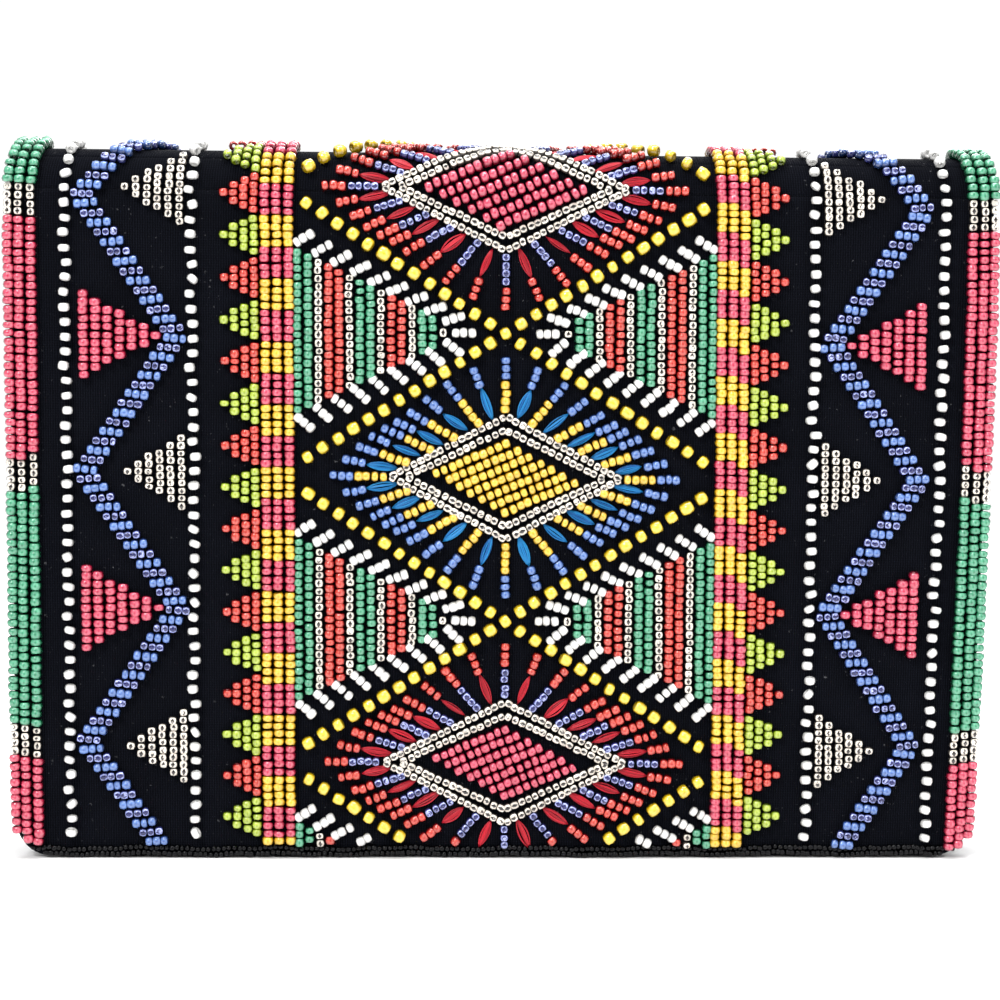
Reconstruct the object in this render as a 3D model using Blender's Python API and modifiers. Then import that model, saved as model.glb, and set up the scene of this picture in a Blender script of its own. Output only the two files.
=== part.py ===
"""Fold-over clutch purse: a stiffened two-panel body, a beaded flap that hangs over the whole
front, and a soft fold at the top that opens through four coupled hinge lines.

Units are metres. +Z is up, the front of the purse faces -Y, and the origin is the middle of
the footprint.
"""

import math

import bmesh
import bpy
from mathutils import Matrix, Vector

# Driving dimensions
WIDTH = 0.254  # over the beadwork
HEIGHT = 0.184  # over the beads on the fold
CORNER = 0.008  # rounding of the bottom corners
GAP = 0.0003  # between pieces that touch
BEAD_RISE = 0.0021  # beadwork above the canvas
CANVAS = 0.0007
BOARD = 0.0008
BACK_BOARD = 0.0016  # the back carries the purse, so its board is thicker
LINING = 0.0004
FOLD_RADIUS = 0.0104  # outside of the canvas at the top fold
SNAP_SPACE = 0.0029  # between the flap's lining and the front panel
HINGE_STEP = math.radians(45)  # each of the four hinge lines opens this far
FIRST_HINGE = math.radians(22.5)  # from the back tangent of the fold
BEAD_START = math.radians(29.5)  # the beadwork begins just over the back of the fold
BODY_WIDTH = 0.244
FRONT_HEIGHT = 0.136  # the front panel stops below the mouth
ZIP_HEIGHT = 0.149
ZIP_LENGTH = 0.130
SNAP_HEIGHT = 0.046

# Places across the purse, from the fold's centre plane: negative is towards the front
beadRadius = FOLD_RADIUS + GAP + BEAD_RISE
foldY = (beadRadius - beadRadius * math.cos(BEAD_START)) / 2
foldZ = HEIGHT - beadRadius
canvasHalf = WIDTH / 2 - 0.0016
flapLiningBack = -FOLD_RADIUS + CANVAS + BOARD + LINING + 2 * GAP
frontFace = flapLiningBack + SNAP_SPACE
backFace = FOLD_RADIUS

# Beadwork layout, from the centre line (x) and from the hem (z)
HEM = 0.0028
ORNAMENT_MIDDLE = 0.0998
ORNAMENT_STEP = 0.0738
BAND_INNER = 0.0539
BAND_OUTER = 0.0626
TOOTH_TIP = 0.0728
TOOTH_FIRST = 0.0114  # height of the lowest tooth
TOOTH_STEP = 0.01066
ZIGZAG_INNER = 0.0836
ZIGZAG_OUTER = 0.1073
ZIGZAG_HALF = 0.0034
ZIGZAG_FIRST = 0.0306  # height of the lowest outer turn
ZIGZAG_STEP = 0.0348
BORDER_WIDTH = 0.0087

COLOURS = {
    "canvas": ((0.006, 0.007, 0.012, 1), 0.85, 0.0),
    "board": ((0.32, 0.25, 0.17, 1), 0.9, 0.0),
    "satin": ((0.012, 0.013, 0.02, 1), 0.35, 0.0),
    "nickel": ((0.62, 0.6, 0.56, 1), 0.25, 1.0),
    "magnet": ((0.1, 0.1, 0.11, 1), 0.5, 0.6),
    "zip": ((0.008, 0.009, 0.014, 1), 0.6, 0.0),
    "black_bead": ((0.004, 0.004, 0.006, 1), 0.15, 0.0),
    "green_bead": ((0.05, 0.45, 0.19, 1), 0.2, 0.0),
    "blue_bead": ((0.1, 0.24, 0.63, 1), 0.2, 0.0),
    "yellow_bead": ((0.95, 0.6, 0.02, 1), 0.2, 0.0),
    "pink_bead": ((0.8, 0.07, 0.18, 1), 0.2, 0.0),
    "silver_bead": ((0.56, 0.5, 0.42, 1), 0.2, 0.7),
    "red_bead": ((0.78, 0.05, 0.03, 1), 0.2, 0.0),
}


def clearScene():
    for thing in list(bpy.data.objects):
        bpy.data.objects.remove(thing, do_unlink=True)


def newCollection(name):
    group = bpy.data.collections.new(name)
    bpy.context.scene.collection.children.link(group)
    return group


def makeMaterials():
    made = {}
    for name, (colour, roughness, metallic) in COLOURS.items():
        material = bpy.data.materials.new(name)
        material.use_nodes = True
        shader = material.node_tree.nodes["Principled BSDF"]
        shader.inputs["Base Color"].default_value = colour
        shader.inputs["Roughness"].default_value = roughness
        shader.inputs["Metallic"].default_value = metallic
        material.diffuse_color = colour
        made[name] = material
    return made


clearScene()
purse = newCollection("clutch_purse")
cutters = newCollection("cutters")
materials = makeMaterials()


def addObject(name, data, material, parent=None):
    """A finished piece, whose data is in world space, hung on its hinge empty if it has one."""
    thing = bpy.data.objects.new(name, data)
    purse.objects.link(thing)
    data.materials.append(materials[material])
    if parent:
        thing.parent = parent
        thing.matrix_parent_inverse = parent.matrix_world.inverted()
    return thing


def addEmpty(name, place, parent=None):
    pivot = bpy.data.objects.new(name, None)
    purse.objects.link(pivot)
    pivot.empty_display_size = 0.01
    if parent:
        pivot.parent = parent
        pivot.matrix_parent_inverse = parent.matrix_world.inverted()
    pivot.location = place
    bpy.context.view_layer.update()
    return pivot


def meshFrom(shape, name):
    bmesh.ops.recalc_face_normals(shape, faces=shape.faces)
    mesh = bpy.data.meshes.new(name)
    shape.to_mesh(mesh)
    shape.free()
    return mesh


def arcPoints(radius, start, end, steps):
    """Points round the top fold as (y, z), with angles from its back tangent."""
    turns = [start + (end - start) * k / steps for k in range(steps + 1)]
    return [(foldY + radius * math.cos(t), foldZ + radius * math.sin(t)) for t in turns]


def addSheet(name, material, profile, halfWidth, thickness, parent=None, rounded=False):
    """Sheet goods: a (y, z) profile drawn across the purse, thickened to its right-hand side.

    The profile runs from the back over the top to the front, so its right-hand side is inside.
    """
    shape = bmesh.new()
    line = [shape.verts.new((-halfWidth, y, z)) for y, z in profile]
    edges = [shape.edges.new(pair) for pair in zip(line, line[1:])]
    swept = bmesh.ops.extrude_edge_only(shape, edges=edges)["geom"]
    moved = [part for part in swept if isinstance(part, bmesh.types.BMVert)]
    bmesh.ops.translate(shape, verts=moved, vec=(2 * halfWidth, 0, 0))
    if rounded:
        lowest = min(z for _, z in profile)
        corners = [v for v in shape.verts if v.co.z < lowest + 1e-6]
        bmesh.ops.bevel(
            shape, geom=corners, affect="VERTICES", offset=CORNER, segments=6, profile=0.5
        )
    bmesh.ops.recalc_face_normals(shape, faces=shape.faces)
    first = min(shape.faces, key=lambda f: abs(f.calc_center_median().x))
    outward = first.calc_center_median() - Vector((0, foldY, min(foldZ, first.calc_center_median().z)))
    if first.normal.dot(outward) < 0:
        bmesh.ops.reverse_faces(shape, faces=shape.faces)
    mesh = bpy.data.meshes.new(name)
    shape.to_mesh(mesh)
    shape.free()
    sheet = addObject(name, mesh, material, parent)
    wall = sheet.modifiers.new("thickness", "SOLIDIFY")
    wall.thickness = thickness
    wall.offset = -1
    wall.use_even_offset = True
    return sheet


def addPlate(name, material, outline, front, thickness, parent=None, window=None):
    """A flat piece: an (x, z) outline, front face at y = front, going back by its thickness."""
    curve = bpy.data.curves.new(name, "CURVE")
    curve.dimensions = "2D"
    curve.fill_mode = "BOTH"
    curve.extrude = thickness / 2
    for loop in filter(None, (outline, window)):
        spline = curve.splines.new("POLY")
        spline.points.add(len(loop) - 1)
        for point, (x, z) in zip(spline.points, loop):
            point.co = (x, z, 0, 1)
        spline.use_cyclic_u = True
    plate = addObject(name, curve, material, parent)
    upright = Matrix.Rotation(math.radians(90), 4, "X")
    plate.matrix_world = Matrix.Translation((0, front + thickness / 2, 0)) @ upright
    return plate


def addBox(name, material, low, high, parent=None, bevel=0.0):
    shape = bmesh.new()
    bmesh.ops.create_cube(shape, size=1)
    size = [b - a for a, b in zip(low, high)]
    bmesh.ops.scale(shape, vec=size, verts=shape.verts)
    bmesh.ops.translate(shape, vec=[(a + b) / 2 for a, b in zip(low, high)], verts=shape.verts)
    if bevel:
        bmesh.ops.bevel(
            shape, geom=shape.edges, affect="EDGES", offset=bevel, segments=2, profile=0.5
        )
    return addObject(name, meshFrom(shape, name), material, parent)


def addDisc(name, material, radius, front, thickness, parent=None, segments=40):
    """A disc that faces the front, centred on the snap."""
    shape = bmesh.new()
    bmesh.ops.create_cone(
        shape, cap_ends=True, segments=segments, radius1=radius, radius2=radius, depth=thickness
    )
    bmesh.ops.rotate(shape, matrix=Matrix.Rotation(math.radians(90), 3, "X"), verts=shape.verts)
    bmesh.ops.translate(shape, vec=(0, front + thickness / 2, SNAP_HEIGHT), verts=shape.verts)
    return addObject(name, meshFrom(shape, name), material, parent)


def cut(piece, cutter):
    purse.objects.unlink(cutter)
    cutters.objects.link(cutter)
    cutter.hide_render = True
    cutter.display_type = "WIRE"
    hole = piece.modifiers.new("cut", "BOOLEAN")
    hole.operation = "DIFFERENCE"
    hole.object = cutter
    hole.solver = "EXACT"


def rectangle(x0, x1, z0, z1):
    return [(x0, z0), (x1, z0), (x1, z1), (x0, z1)]


def mirrored(outline, side):
    points = [(side * x, z) for x, z in outline]
    return points if side > 0 else points[::-1]


def hingePoint(number):
    """The (y, z) place of a hinge line, which lies in the canvas of the fold."""
    angle = FIRST_HINGE + number * HINGE_STEP
    return arcPoints(FOLD_RADIUS, angle, angle, 1)[0]


def buildHinges():
    pivots = []
    for number, name in enumerate(("fold_rear", "fold_top", "fold_front", "flap")):
        y, z = hingePoint(number)
        parent = pivots[-1] if pivots else None
        pivots.append(addEmpty(name + "_axis", (0, y, z), parent))
    return pivots


def buildBody():
    """Back, front, base, sides and lining of the body."""
    half = BODY_WIDTH / 2
    baseTop = CANVAS + GAP
    back = foldY + backFace
    edge = GAP / FOLD_RADIUS
    arc = arcPoints(FOLD_RADIUS, FIRST_HINGE - edge, 0, 3)
    addSheet("back_cover", "canvas", arc + [(back, baseTop)], canvasHalf, CANVAS, None, True)
    boardBack = back - CANVAS - GAP
    addSheet("back_board", "board", [(boardBack, foldZ - 0.001), (boardBack, 0.0034)],
             half - 0.001, BACK_BOARD, None, True)
    bagBack = boardBack - BACK_BOARD - GAP
    liningBack = bagBack - 0.0010 - GAP
    lining = addSheet("back_lining", "satin", [(liningBack, foldZ - 0.001), (liningBack, 0.0034)],
                      half - 0.003, LINING)
    slot = addBox("zip_slot", "satin", (-ZIP_LENGTH / 2, liningBack - 0.002, ZIP_HEIGHT - 0.0048),
                  (ZIP_LENGTH / 2, liningBack + 0.002, ZIP_HEIGHT + 0.0048))
    cut(lining, slot)
    front = foldY + frontFace
    frontProfile = [(front, FRONT_HEIGHT - GAP), (front, baseTop)]
    addPlate("front_cover", "canvas", roundedPanel(half, baseTop, FRONT_HEIGHT), front, CANVAS)
    boardFront = front + CANVAS + GAP
    addPlate("front_board", "board", roundedPanel(half - 0.001, 0.0034, FRONT_HEIGHT),
             boardFront, BOARD)
    liningFront = boardFront + BOARD + GAP
    addPlate("front_lining", "satin", rectangle(0.003 - half, half - 0.003, 0.0034, FRONT_HEIGHT),
             liningFront, LINING)
    pocketFront = liningFront + LINING + GAP
    addPlate("slip_pocket", "satin", roundedPanel(0.056, 0.030, 0.104), pocketFront, LINING)
    bind = 0.0008
    addMouthBinding(front - bind, liningFront + LINING + bind, half)
    addBox("base_cover", "canvas", (-half + CORNER, front, 0), (half - CORNER, back, CANVAS))
    inner = liningFront + LINING + GAP
    addBox("base_board", "board", (-half + 0.009, inner, baseTop),
           (half - 0.009, liningBack - LINING - GAP, baseTop + BOARD))
    addBox("base_lining", "satin", (-half + 0.009, inner, baseTop + BOARD + GAP),
           (half - 0.009, liningBack - LINING - GAP, baseTop + BOARD + GAP + LINING))
    for side, name in ((-1, "side_gusset_left"), (1, "side_gusset_right")):
        addGusset(name, side, inner, liningBack - LINING - GAP)
    addZipPocket(bagBack)
    addSnapSocket(front, boardFront)
    return liningBack - LINING


def roundedPanel(half, low, high):
    """A panel outline with its two bottom corners rounded."""
    steps = 6
    quarter = [math.radians(90) * k / steps for k in range(steps + 1)]
    right = [
        (half - CORNER + CORNER * math.sin(t), low + CORNER - CORNER * math.cos(t)) for t in quarter
    ]
    left = [(-x, z) for x, z in reversed(right)]
    return right + [(half, high), (-half, high)] + left


def addMouthBinding(front, back, half):
    """A folded strip over the front panel's top edge, open underneath."""
    low = FRONT_HEIGHT - 0.004
    top = FRONT_HEIGHT + GAP + CANVAS
    profile = [(back + GAP, low), (back + GAP, top), (front - GAP, top), (front - GAP, low)]
    wall = addSheet("mouth_binding", "canvas", profile, half, 0.0006)
    wall.modifiers["thickness"].offset = -1


def addGusset(name, side, front, back):
    """A side panel folded inwards, so that the bag closes flat."""
    middle = (front + back) / 2
    half = BODY_WIDTH / 2 - 0.0035
    crease = half - 0.0045
    shape = bmesh.new()
    places = ((half, front + 0.0006), (crease, middle), (half, back - 0.0006))
    line = [shape.verts.new((side * x, y, 0.0036)) for x, y in places]
    edges = [shape.edges.new(pair) for pair in zip(line, line[1:])]
    swept = bmesh.ops.extrude_edge_only(shape, edges=edges)["geom"]
    moved = [part for part in swept if isinstance(part, bmesh.types.BMVert)]
    bmesh.ops.translate(shape, verts=moved, vec=(0, 0, FRONT_HEIGHT - 0.0085))
    gusset = addObject(name, meshFrom(shape, name), "satin")
    wall = gusset.modifiers.new("thickness", "SOLIDIFY")
    wall.thickness = 0.0005
    wall.offset = 0


def addZipPocket(back):
    """A flat bag behind the back lining, folded along its bottom and open at the zip."""
    ply = 0.0003
    depth = 0.0009
    low = ZIP_HEIGHT - 0.085
    shape = bmesh.new()
    half = ZIP_LENGTH / 2 + 0.006
    places = ((back - ply, ZIP_HEIGHT + 0.013), (back - ply, low),
              (back - depth, low), (back - depth, ZIP_HEIGHT - 0.013))
    line = [shape.verts.new((-half, y, z)) for y, z in places]
    edges = [shape.edges.new(pair) for pair in zip(line, line[1:])]
    swept = bmesh.ops.extrude_edge_only(shape, edges=edges)["geom"]
    moved = [part for part in swept if isinstance(part, bmesh.types.BMVert)]
    bmesh.ops.translate(shape, verts=moved, vec=(2 * half, 0, 0))
    bag = addObject("zip_pocket_bag", meshFrom(shape, "zip_pocket_bag"), "satin")
    wall = bag.modifiers.new("thickness", "SOLIDIFY")
    wall.thickness = 0.0002
    wall.offset = 0


def addSnapSocket(front, boardFront):
    """The magnetic socket on the front panel: a cup, its ring magnet, and the washer inside."""
    height = 0.0014
    face = front - GAP - height
    cup = addDisc("snap_socket", "nickel", 0.0072, face, height)
    cut(cup, addDisc("socket_space", "nickel", 0.0064, face + 0.0004, height))
    cut(cup, addDisc("socket_hole", "nickel", 0.0029, face - 0.001, 0.004))
    ring = addDisc("snap_magnet", "magnet", 0.0061, face + 0.0007, height - 0.0007)
    cut(ring, addDisc("magnet_hole", "magnet", 0.0031, face - 0.001, 0.006))


def buildZip(liningFace):
    """Tapes, coils, stops, slider and pull of the inner pocket's zip."""
    coilFront = liningFace - 0.0007
    tapeFront = liningFace + LINING + GAP
    half = ZIP_LENGTH / 2
    for sign, name in ((1, "upper"), (-1, "lower")):
        near = ZIP_HEIGHT + sign * 0.0002
        far = ZIP_HEIGHT + sign * 0.0090
        low, high = sorted((near, far))
        addBox("zip_tape_" + name, "zip", (-half - 0.003, tapeFront, low),
               (half + 0.003, tapeFront + 0.0003, high))
        edge = sorted((near, ZIP_HEIGHT + sign * 0.0017))
        addBox("zip_coil_" + name, "zip", (-half + 0.003, coilFront, edge[0]),
               (half - 0.003, tapeFront - GAP, edge[1]), bevel=0.0003)
    for sign, name in ((-1, "left"), (1, "right")):
        ends = sorted((sign * (half - 0.0005), sign * (half - 0.0025)))
        addBox("zip_stop_" + name, "nickel", (ends[0], coilFront, ZIP_HEIGHT - 0.0021),
               (ends[1], tapeFront - GAP, ZIP_HEIGHT + 0.0021), bevel=0.0003)
    start = -half + 0.0085
    sliderHalf = 0.0042
    top = coilFront - GAP
    plate = 0.0007
    runner = addEmpty("zip_slider_axis", (start, top, ZIP_HEIGHT))
    slider = addBox("zip_slider", "nickel", (start - sliderHalf, top - plate, ZIP_HEIGHT - 0.0032),
                    (start + sliderHalf, tapeFront - GAP, ZIP_HEIGHT + 0.0032), runner)
    channel = addBox("coil_channel", "nickel", (start - 0.008, top, ZIP_HEIGHT - 0.0020),
                     (start + 0.008, tapeFront + 0.002, ZIP_HEIGHT + 0.0020))
    cut(slider, channel)
    bridge = addBox("zip_bridge", "nickel", (start - 0.0026, top - plate - 0.0020, ZIP_HEIGHT - 0.0006),
                    (start + 0.0026, top - plate * 0.5, ZIP_HEIGHT + 0.0006), runner)
    under = addBox("bridge_gap", "nickel", (start - 0.0017, top - plate - 0.0014, ZIP_HEIGHT - 0.002),
                   (start + 0.0017, top - plate, ZIP_HEIGHT + 0.002))
    cut(bridge, under)
    join = slider.modifiers.new("bridge", "BOOLEAN")
    join.operation = "UNION"
    join.object = bridge
    join.solver = "EXACT"
    purse.objects.unlink(bridge)
    cutters.objects.link(bridge)
    bridge.hide_render = True
    bridge.display_type = "WIRE"
    pivotY = top - plate - 0.0007
    swing = addEmpty("zip_pull_axis", (start, pivotY, ZIP_HEIGHT), runner)
    bar = 0.0004
    window = rectangle(start + bar, start + 0.0033, ZIP_HEIGHT - 0.0009, ZIP_HEIGHT + 0.0009)
    addPlate("zip_pull", "nickel", pullOutline(start), pivotY - bar, 2 * bar, swing, window)


def pullOutline(start):
    """A tab that reaches to +X from the bar that lies under the slider's bridge."""
    steps = 8
    tip = 0.0100
    radius = 0.0019
    turns = [math.radians(-90 + 180 * k / steps) for k in range(steps + 1)]
    end = [(start + tip - radius + radius * math.cos(t), ZIP_HEIGHT + radius * math.sin(t))
           for t in turns]
    return [(start - 0.0004, ZIP_HEIGHT - radius)] + end + [(start - 0.0004, ZIP_HEIGHT + radius)]


def buildFold(pivots):
    """Three slats of the soft top fold, each with cover, lining and beadwork."""
    edge = 1.5 * GAP / FOLD_RADIUS
    beadEdge = math.radians(7.2)
    inner = FOLD_RADIUS - CANVAS - GAP
    for number, name in enumerate(("rear", "top", "front")):
        start = FIRST_HINGE + number * HINGE_STEP
        end = start + HINGE_STEP
        pivot = pivots[number]
        cover = arcPoints(FOLD_RADIUS, start + edge, end - edge, 6)[::-1]
        addSheet("fold_cover_" + name, "canvas", cover[::-1], canvasHalf, CANVAS, pivot)
        lining = arcPoints(inner, start + edge, end - edge, 6)
        addSheet("fold_lining_" + name, "satin", lining, BODY_WIDTH / 2, LINING, pivot)
        beads = arcPoints(beadRadius, start + beadEdge, end - beadEdge, 5)
        addSheet("fold_beads_" + name, "green_bead", beads, WIDTH / 2, BEAD_RISE, pivot)


def buildFlap(pivot):
    """The flap's cover, stiffener and lining, its hem and its half of the snap."""
    edge = GAP / FOLD_RADIUS
    start = FIRST_HINGE + 3 * HINGE_STEP + edge
    front = foldY - FOLD_RADIUS
    arc = arcPoints(FOLD_RADIUS, start, math.pi, 3)
    addSheet("flap_cover", "canvas", arc + [(front, 0)], canvasHalf, CANVAS, pivot, True)
    boardFront = front + CANVAS + GAP
    addPlate("flap_board", "board", roundedPanel(canvasHalf - 0.002, 0.002, foldZ - 0.001),
             boardFront, BOARD, pivot)
    liningFront = boardFront + BOARD + GAP
    addPlate("flap_lining", "satin", roundedPanel(canvasHalf - 0.001, 0.001, foldZ - 0.001),
             liningFront, LINING, pivot)
    studFront = liningFront + LINING + GAP
    stud = addDisc("snap_stud", "nickel", 0.0070, studFront, 0.0006, pivot)
    nub = addDisc("stud_nub", "nickel", 0.0024, studFront + 0.0003, 0.0010)
    join = stud.modifiers.new("nub", "BOOLEAN")
    join.operation = "UNION"
    join.object = nub
    join.solver = "EXACT"
    purse.objects.unlink(nub)
    cutters.objects.link(nub)
    nub.hide_render = True
    nub.display_type = "WIRE"


def toothedBand():
    """A band with a row of triangular teeth along its outer side."""
    low, high = HEM + 0.0006, foldZ - 0.0004
    outline = [(BAND_INNER, low), (BAND_OUTER, low)]
    count = int((high - TOOTH_FIRST) / TOOTH_STEP)
    for number in range(count):
        middle = TOOTH_FIRST + number * TOOTH_STEP
        outline += [(TOOTH_TIP, middle), (BAND_OUTER, middle + TOOTH_STEP / 2)]
    outline += [(BAND_OUTER, high), (BAND_INNER, high)]
    return outline


def zigzag():
    """A zigzag band of even width, from the hem to the fold."""
    low, high = HEM + 0.0006, foldZ - 0.0004
    path = []
    for number in range(-1, 5):
        x0, x1 = (ZIGZAG_OUTER, ZIGZAG_INNER) if number % 2 == 0 else (ZIGZAG_INNER, ZIGZAG_OUTER)
        z0 = ZIGZAG_FIRST + number * ZIGZAG_STEP
        for z in (max(z0, low), min(z0 + ZIGZAG_STEP, high)):
            point = (x0 + (x1 - x0) * (z - z0) / ZIGZAG_STEP, z)
            if point not in path:
                path.append(point)
    inside = [(x - ZIGZAG_HALF, z) for x, z in path]
    outside = [(x + ZIGZAG_HALF, z) for x, z in path]
    return outside + inside[::-1]


def ornament(middle):
    """A diamond, cut off where the fold begins to turn."""
    half, tall, limit = 0.0308, 0.0170, foldZ - 0.0004
    if middle + tall < limit:
        return [(half, middle), (0, middle + tall), (-half, middle), (0, middle - tall)]
    reach = half * (1 - abs(limit - middle) / tall)
    return [(reach, limit), (-reach, limit), (0, middle - tall)]


def lattice(middle):
    """Two crossing lines of large beads."""
    reach, slope, half = 0.0498, math.tan(math.radians(32.5)), 0.0021
    notch = half / slope
    return [
        (notch, middle), (reach, middle + slope * reach - half), (reach, middle + slope * reach + half),
        (0, middle + half), (-reach, middle + slope * reach + half),
        (-reach, middle + slope * reach - half), (-notch, middle),
        (-reach, middle - slope * reach + half), (-reach, middle - slope * reach - half),
        (0, middle - half), (reach, middle - slope * reach - half),
        (reach, middle - slope * reach + half),
    ]


def buildBeadwork(pivot):
    """The raised beadwork on the flap, one piece for each motif."""
    front = foldY - FOLD_RADIUS - GAP - BEAD_RISE
    top = foldZ - 0.0004

    def motif(name, material, outline):
        addPlate(name, material, outline, front, BEAD_RISE, pivot)

    hem = rectangle(-canvasHalf + CORNER, canvasHalf - CORNER, 0, HEM)
    motif("hem_beads", "black_bead", hem)
    arc = arcPoints(beadRadius, FIRST_HINGE + 3 * HINGE_STEP + math.radians(7.2), math.pi, 3)
    addSheet("shoulder_beads", "green_bead", arc, WIDTH / 2, BEAD_RISE, pivot)
    for side, word in ((-1, "left"), (1, "right")):
        edge = rectangle(WIDTH / 2 - BORDER_WIDTH, WIDTH / 2, CORNER, top)
        motif("border_" + word, "green_bead", mirrored(edge, side))
        motif("toothed_band_" + word, "pink_bead", mirrored(toothedBand(), side))
        motif("zigzag_" + word, "blue_bead", mirrored(zigzag(), side))
        for place, number in (("upper", 0.5), ("lower", -0.5)):
            middle = ORNAMENT_MIDDLE + number * ORNAMENT_STEP
            turn = ZIGZAG_FIRST + (2 + 2 * number) * ZIGZAG_STEP
            base, tip = BAND_INNER - 0.0005, 0.0147
            stripes = [(base, middle - 0.0213), (base, middle + 0.0213),
                       (tip, middle + 0.0032), (tip, middle - 0.0032)]
            motif(f"stripes_{place}_{word}", "red_bead", mirrored(stripes[::-1], side))
            wedge = [(0.1083, turn - 0.0117), (0.1083, turn + 0.0117), (0.0876, turn)]
            motif(f"wedge_{place}_{word}", "pink_bead", mirrored(wedge, side))
    for number, (word, material) in enumerate(
        (("lower", "pink_bead"), ("middle", "yellow_bead"), ("upper", "pink_bead"))
    ):
        middle = ORNAMENT_MIDDLE + (number - 1) * ORNAMENT_STEP
        motif("diamond_" + word, material, ornament(middle))
    for number, word in enumerate(("lower", "upper")):
        motif("lattice_" + word, "yellow_bead",
              lattice(ORNAMENT_MIDDLE + (number - 0.5) * ORNAMENT_STEP))


def build():
    pivots = buildHinges()
    liningFace = buildBody()
    buildZip(liningFace)
    buildFold(pivots)
    buildFlap(pivots[3])
    buildBeadwork(pivots[3])


build()
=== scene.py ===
# Clutch purse: beaded flap, soft fold, plain back, satin inside.
import math
import random

import bmesh
import bpy
from mathutils import Matrix, Vector


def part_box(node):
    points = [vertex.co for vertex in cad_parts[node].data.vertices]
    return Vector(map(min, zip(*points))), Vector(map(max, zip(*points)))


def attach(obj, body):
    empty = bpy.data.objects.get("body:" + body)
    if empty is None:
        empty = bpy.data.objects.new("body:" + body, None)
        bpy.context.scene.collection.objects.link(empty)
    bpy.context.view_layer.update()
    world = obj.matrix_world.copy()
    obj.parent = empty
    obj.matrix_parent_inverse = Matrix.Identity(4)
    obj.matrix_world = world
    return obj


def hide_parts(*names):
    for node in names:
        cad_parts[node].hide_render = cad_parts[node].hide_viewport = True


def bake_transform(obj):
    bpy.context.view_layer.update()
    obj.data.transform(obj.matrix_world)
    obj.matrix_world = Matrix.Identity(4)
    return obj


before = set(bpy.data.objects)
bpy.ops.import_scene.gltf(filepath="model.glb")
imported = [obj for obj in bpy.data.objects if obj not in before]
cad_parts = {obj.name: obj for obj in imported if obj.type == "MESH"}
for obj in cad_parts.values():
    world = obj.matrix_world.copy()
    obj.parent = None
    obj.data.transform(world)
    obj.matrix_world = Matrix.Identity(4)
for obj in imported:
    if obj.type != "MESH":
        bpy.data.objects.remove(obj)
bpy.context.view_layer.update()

# the purse's own measures, read from the model
flapLow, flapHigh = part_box("flap_cover")
backLow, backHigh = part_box("back_cover")
canvasHalf = flapHigh.x
foldY = (flapLow.y + backHigh.y) / 2
foldRadius = (backHigh.y - flapLow.y) / 2
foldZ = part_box("fold_cover_top")[1].z - foldRadius
beadTurn = foldRadius + 0.0013  # where the beads' middles go round the fold
sides = ((-1, "left"), (1, "right"))


def addNode(tree, kind, **values):
    node = tree.nodes.new(kind)
    for name, value in values.items():
        setattr(node, name, value)
    return node


def feed(tree, node, values):
    # every value is set on its input, or linked to it when it is another node's output
    for name, value in values.items():
        if isinstance(value, bpy.types.NodeSocket):
            tree.links.new(value, node.inputs[name])
        else:
            node.inputs[name].default_value = value
    return node


def addNoise(tree, place, scale, detail=2):
    values = {"Vector": place, "Scale": scale, "Detail": detail}
    return feed(tree, addNode(tree, "ShaderNodeTexNoise"), values).outputs[0]


def maths(tree, operation, *values):
    node = addNode(tree, "ShaderNodeMath", operation=operation)
    return feed(tree, node, dict(enumerate(values))).outputs[0]


def mixColour(tree, factor, first, second):
    node = addNode(tree, "ShaderNodeMix", data_type="RGBA")
    return feed(tree, node, {0: factor, 6: first, 7: second}).outputs[2]


def dimmed(tree, colour, share):
    node = addNode(tree, "ShaderNodeVectorMath", operation="SCALE")
    return feed(tree, node, {0: colour, "Scale": share}).outputs[0]


def spread(tree, value, low, high, outLow=0.0, outHigh=1.0):
    node = addNode(tree, "ShaderNodeMapRange")
    return feed(tree, node, dict(enumerate((value, low, high, outLow, outHigh)))).outputs[0]


def attribute(tree, name):
    return addNode(tree, "ShaderNodeAttribute", attribute_name=name).outputs["Fac"]


def place(tree, kind):
    return addNode(tree, "ShaderNodeTexCoord").outputs[kind]


def newGroup(name, takes, gives):
    # takes: the inputs with their first values; gives: the outputs
    group = bpy.data.node_groups.new(name, "ShaderNodeTree")
    for socket, value in takes.items():
        kind = {float: "Float", tuple: "Color"}.get(type(value), "Vector")
        made = group.interface.new_socket(socket, in_out="INPUT", socket_type="NodeSocket" + kind)
        if value is not None:
            made.default_value = value
    for socket in gives:
        kind = "Color" if socket == "Colour" else "Float"
        group.interface.new_socket(socket, in_out="OUTPUT", socket_type="NodeSocket" + kind)
    return group, group.nodes.new("NodeGroupInput").outputs, group.nodes.new("NodeGroupOutput")


def startMaterial(name, roughness, metallic=0.0):
    material = bpy.data.materials.new(name)
    material.use_nodes = True
    tree = material.node_tree
    shader = tree.nodes["Principled BSDF"]
    return material, tree, feed(tree, shader, {"Roughness": roughness, "Metallic": metallic})


def addBump(tree, shader, height, strength, distance):
    values = {"Strength": strength, "Distance": distance, "Height": height}
    bump = feed(tree, addNode(tree, "ShaderNodeBump"), values)
    feed(tree, shader, {"Normal": bump.outputs[0]})


def newPiece(name, shape, *materials):
    mesh = bpy.data.meshes.new(name)
    shape.to_mesh(mesh)
    shape.free()
    mesh.polygons.foreach_set("use_smooth", [True] * len(mesh.polygons))
    for material in materials:
        mesh.materials.append(material)
    piece = bpy.data.objects.new(name, mesh)
    bpy.context.scene.collection.objects.link(piece)
    return piece


view = {"place": (-0.0300, -0.6620, 0.1506), "yaw": -2.58, "pitch": -5.04, "roll": -0.58, "lens": 91.9}


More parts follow.
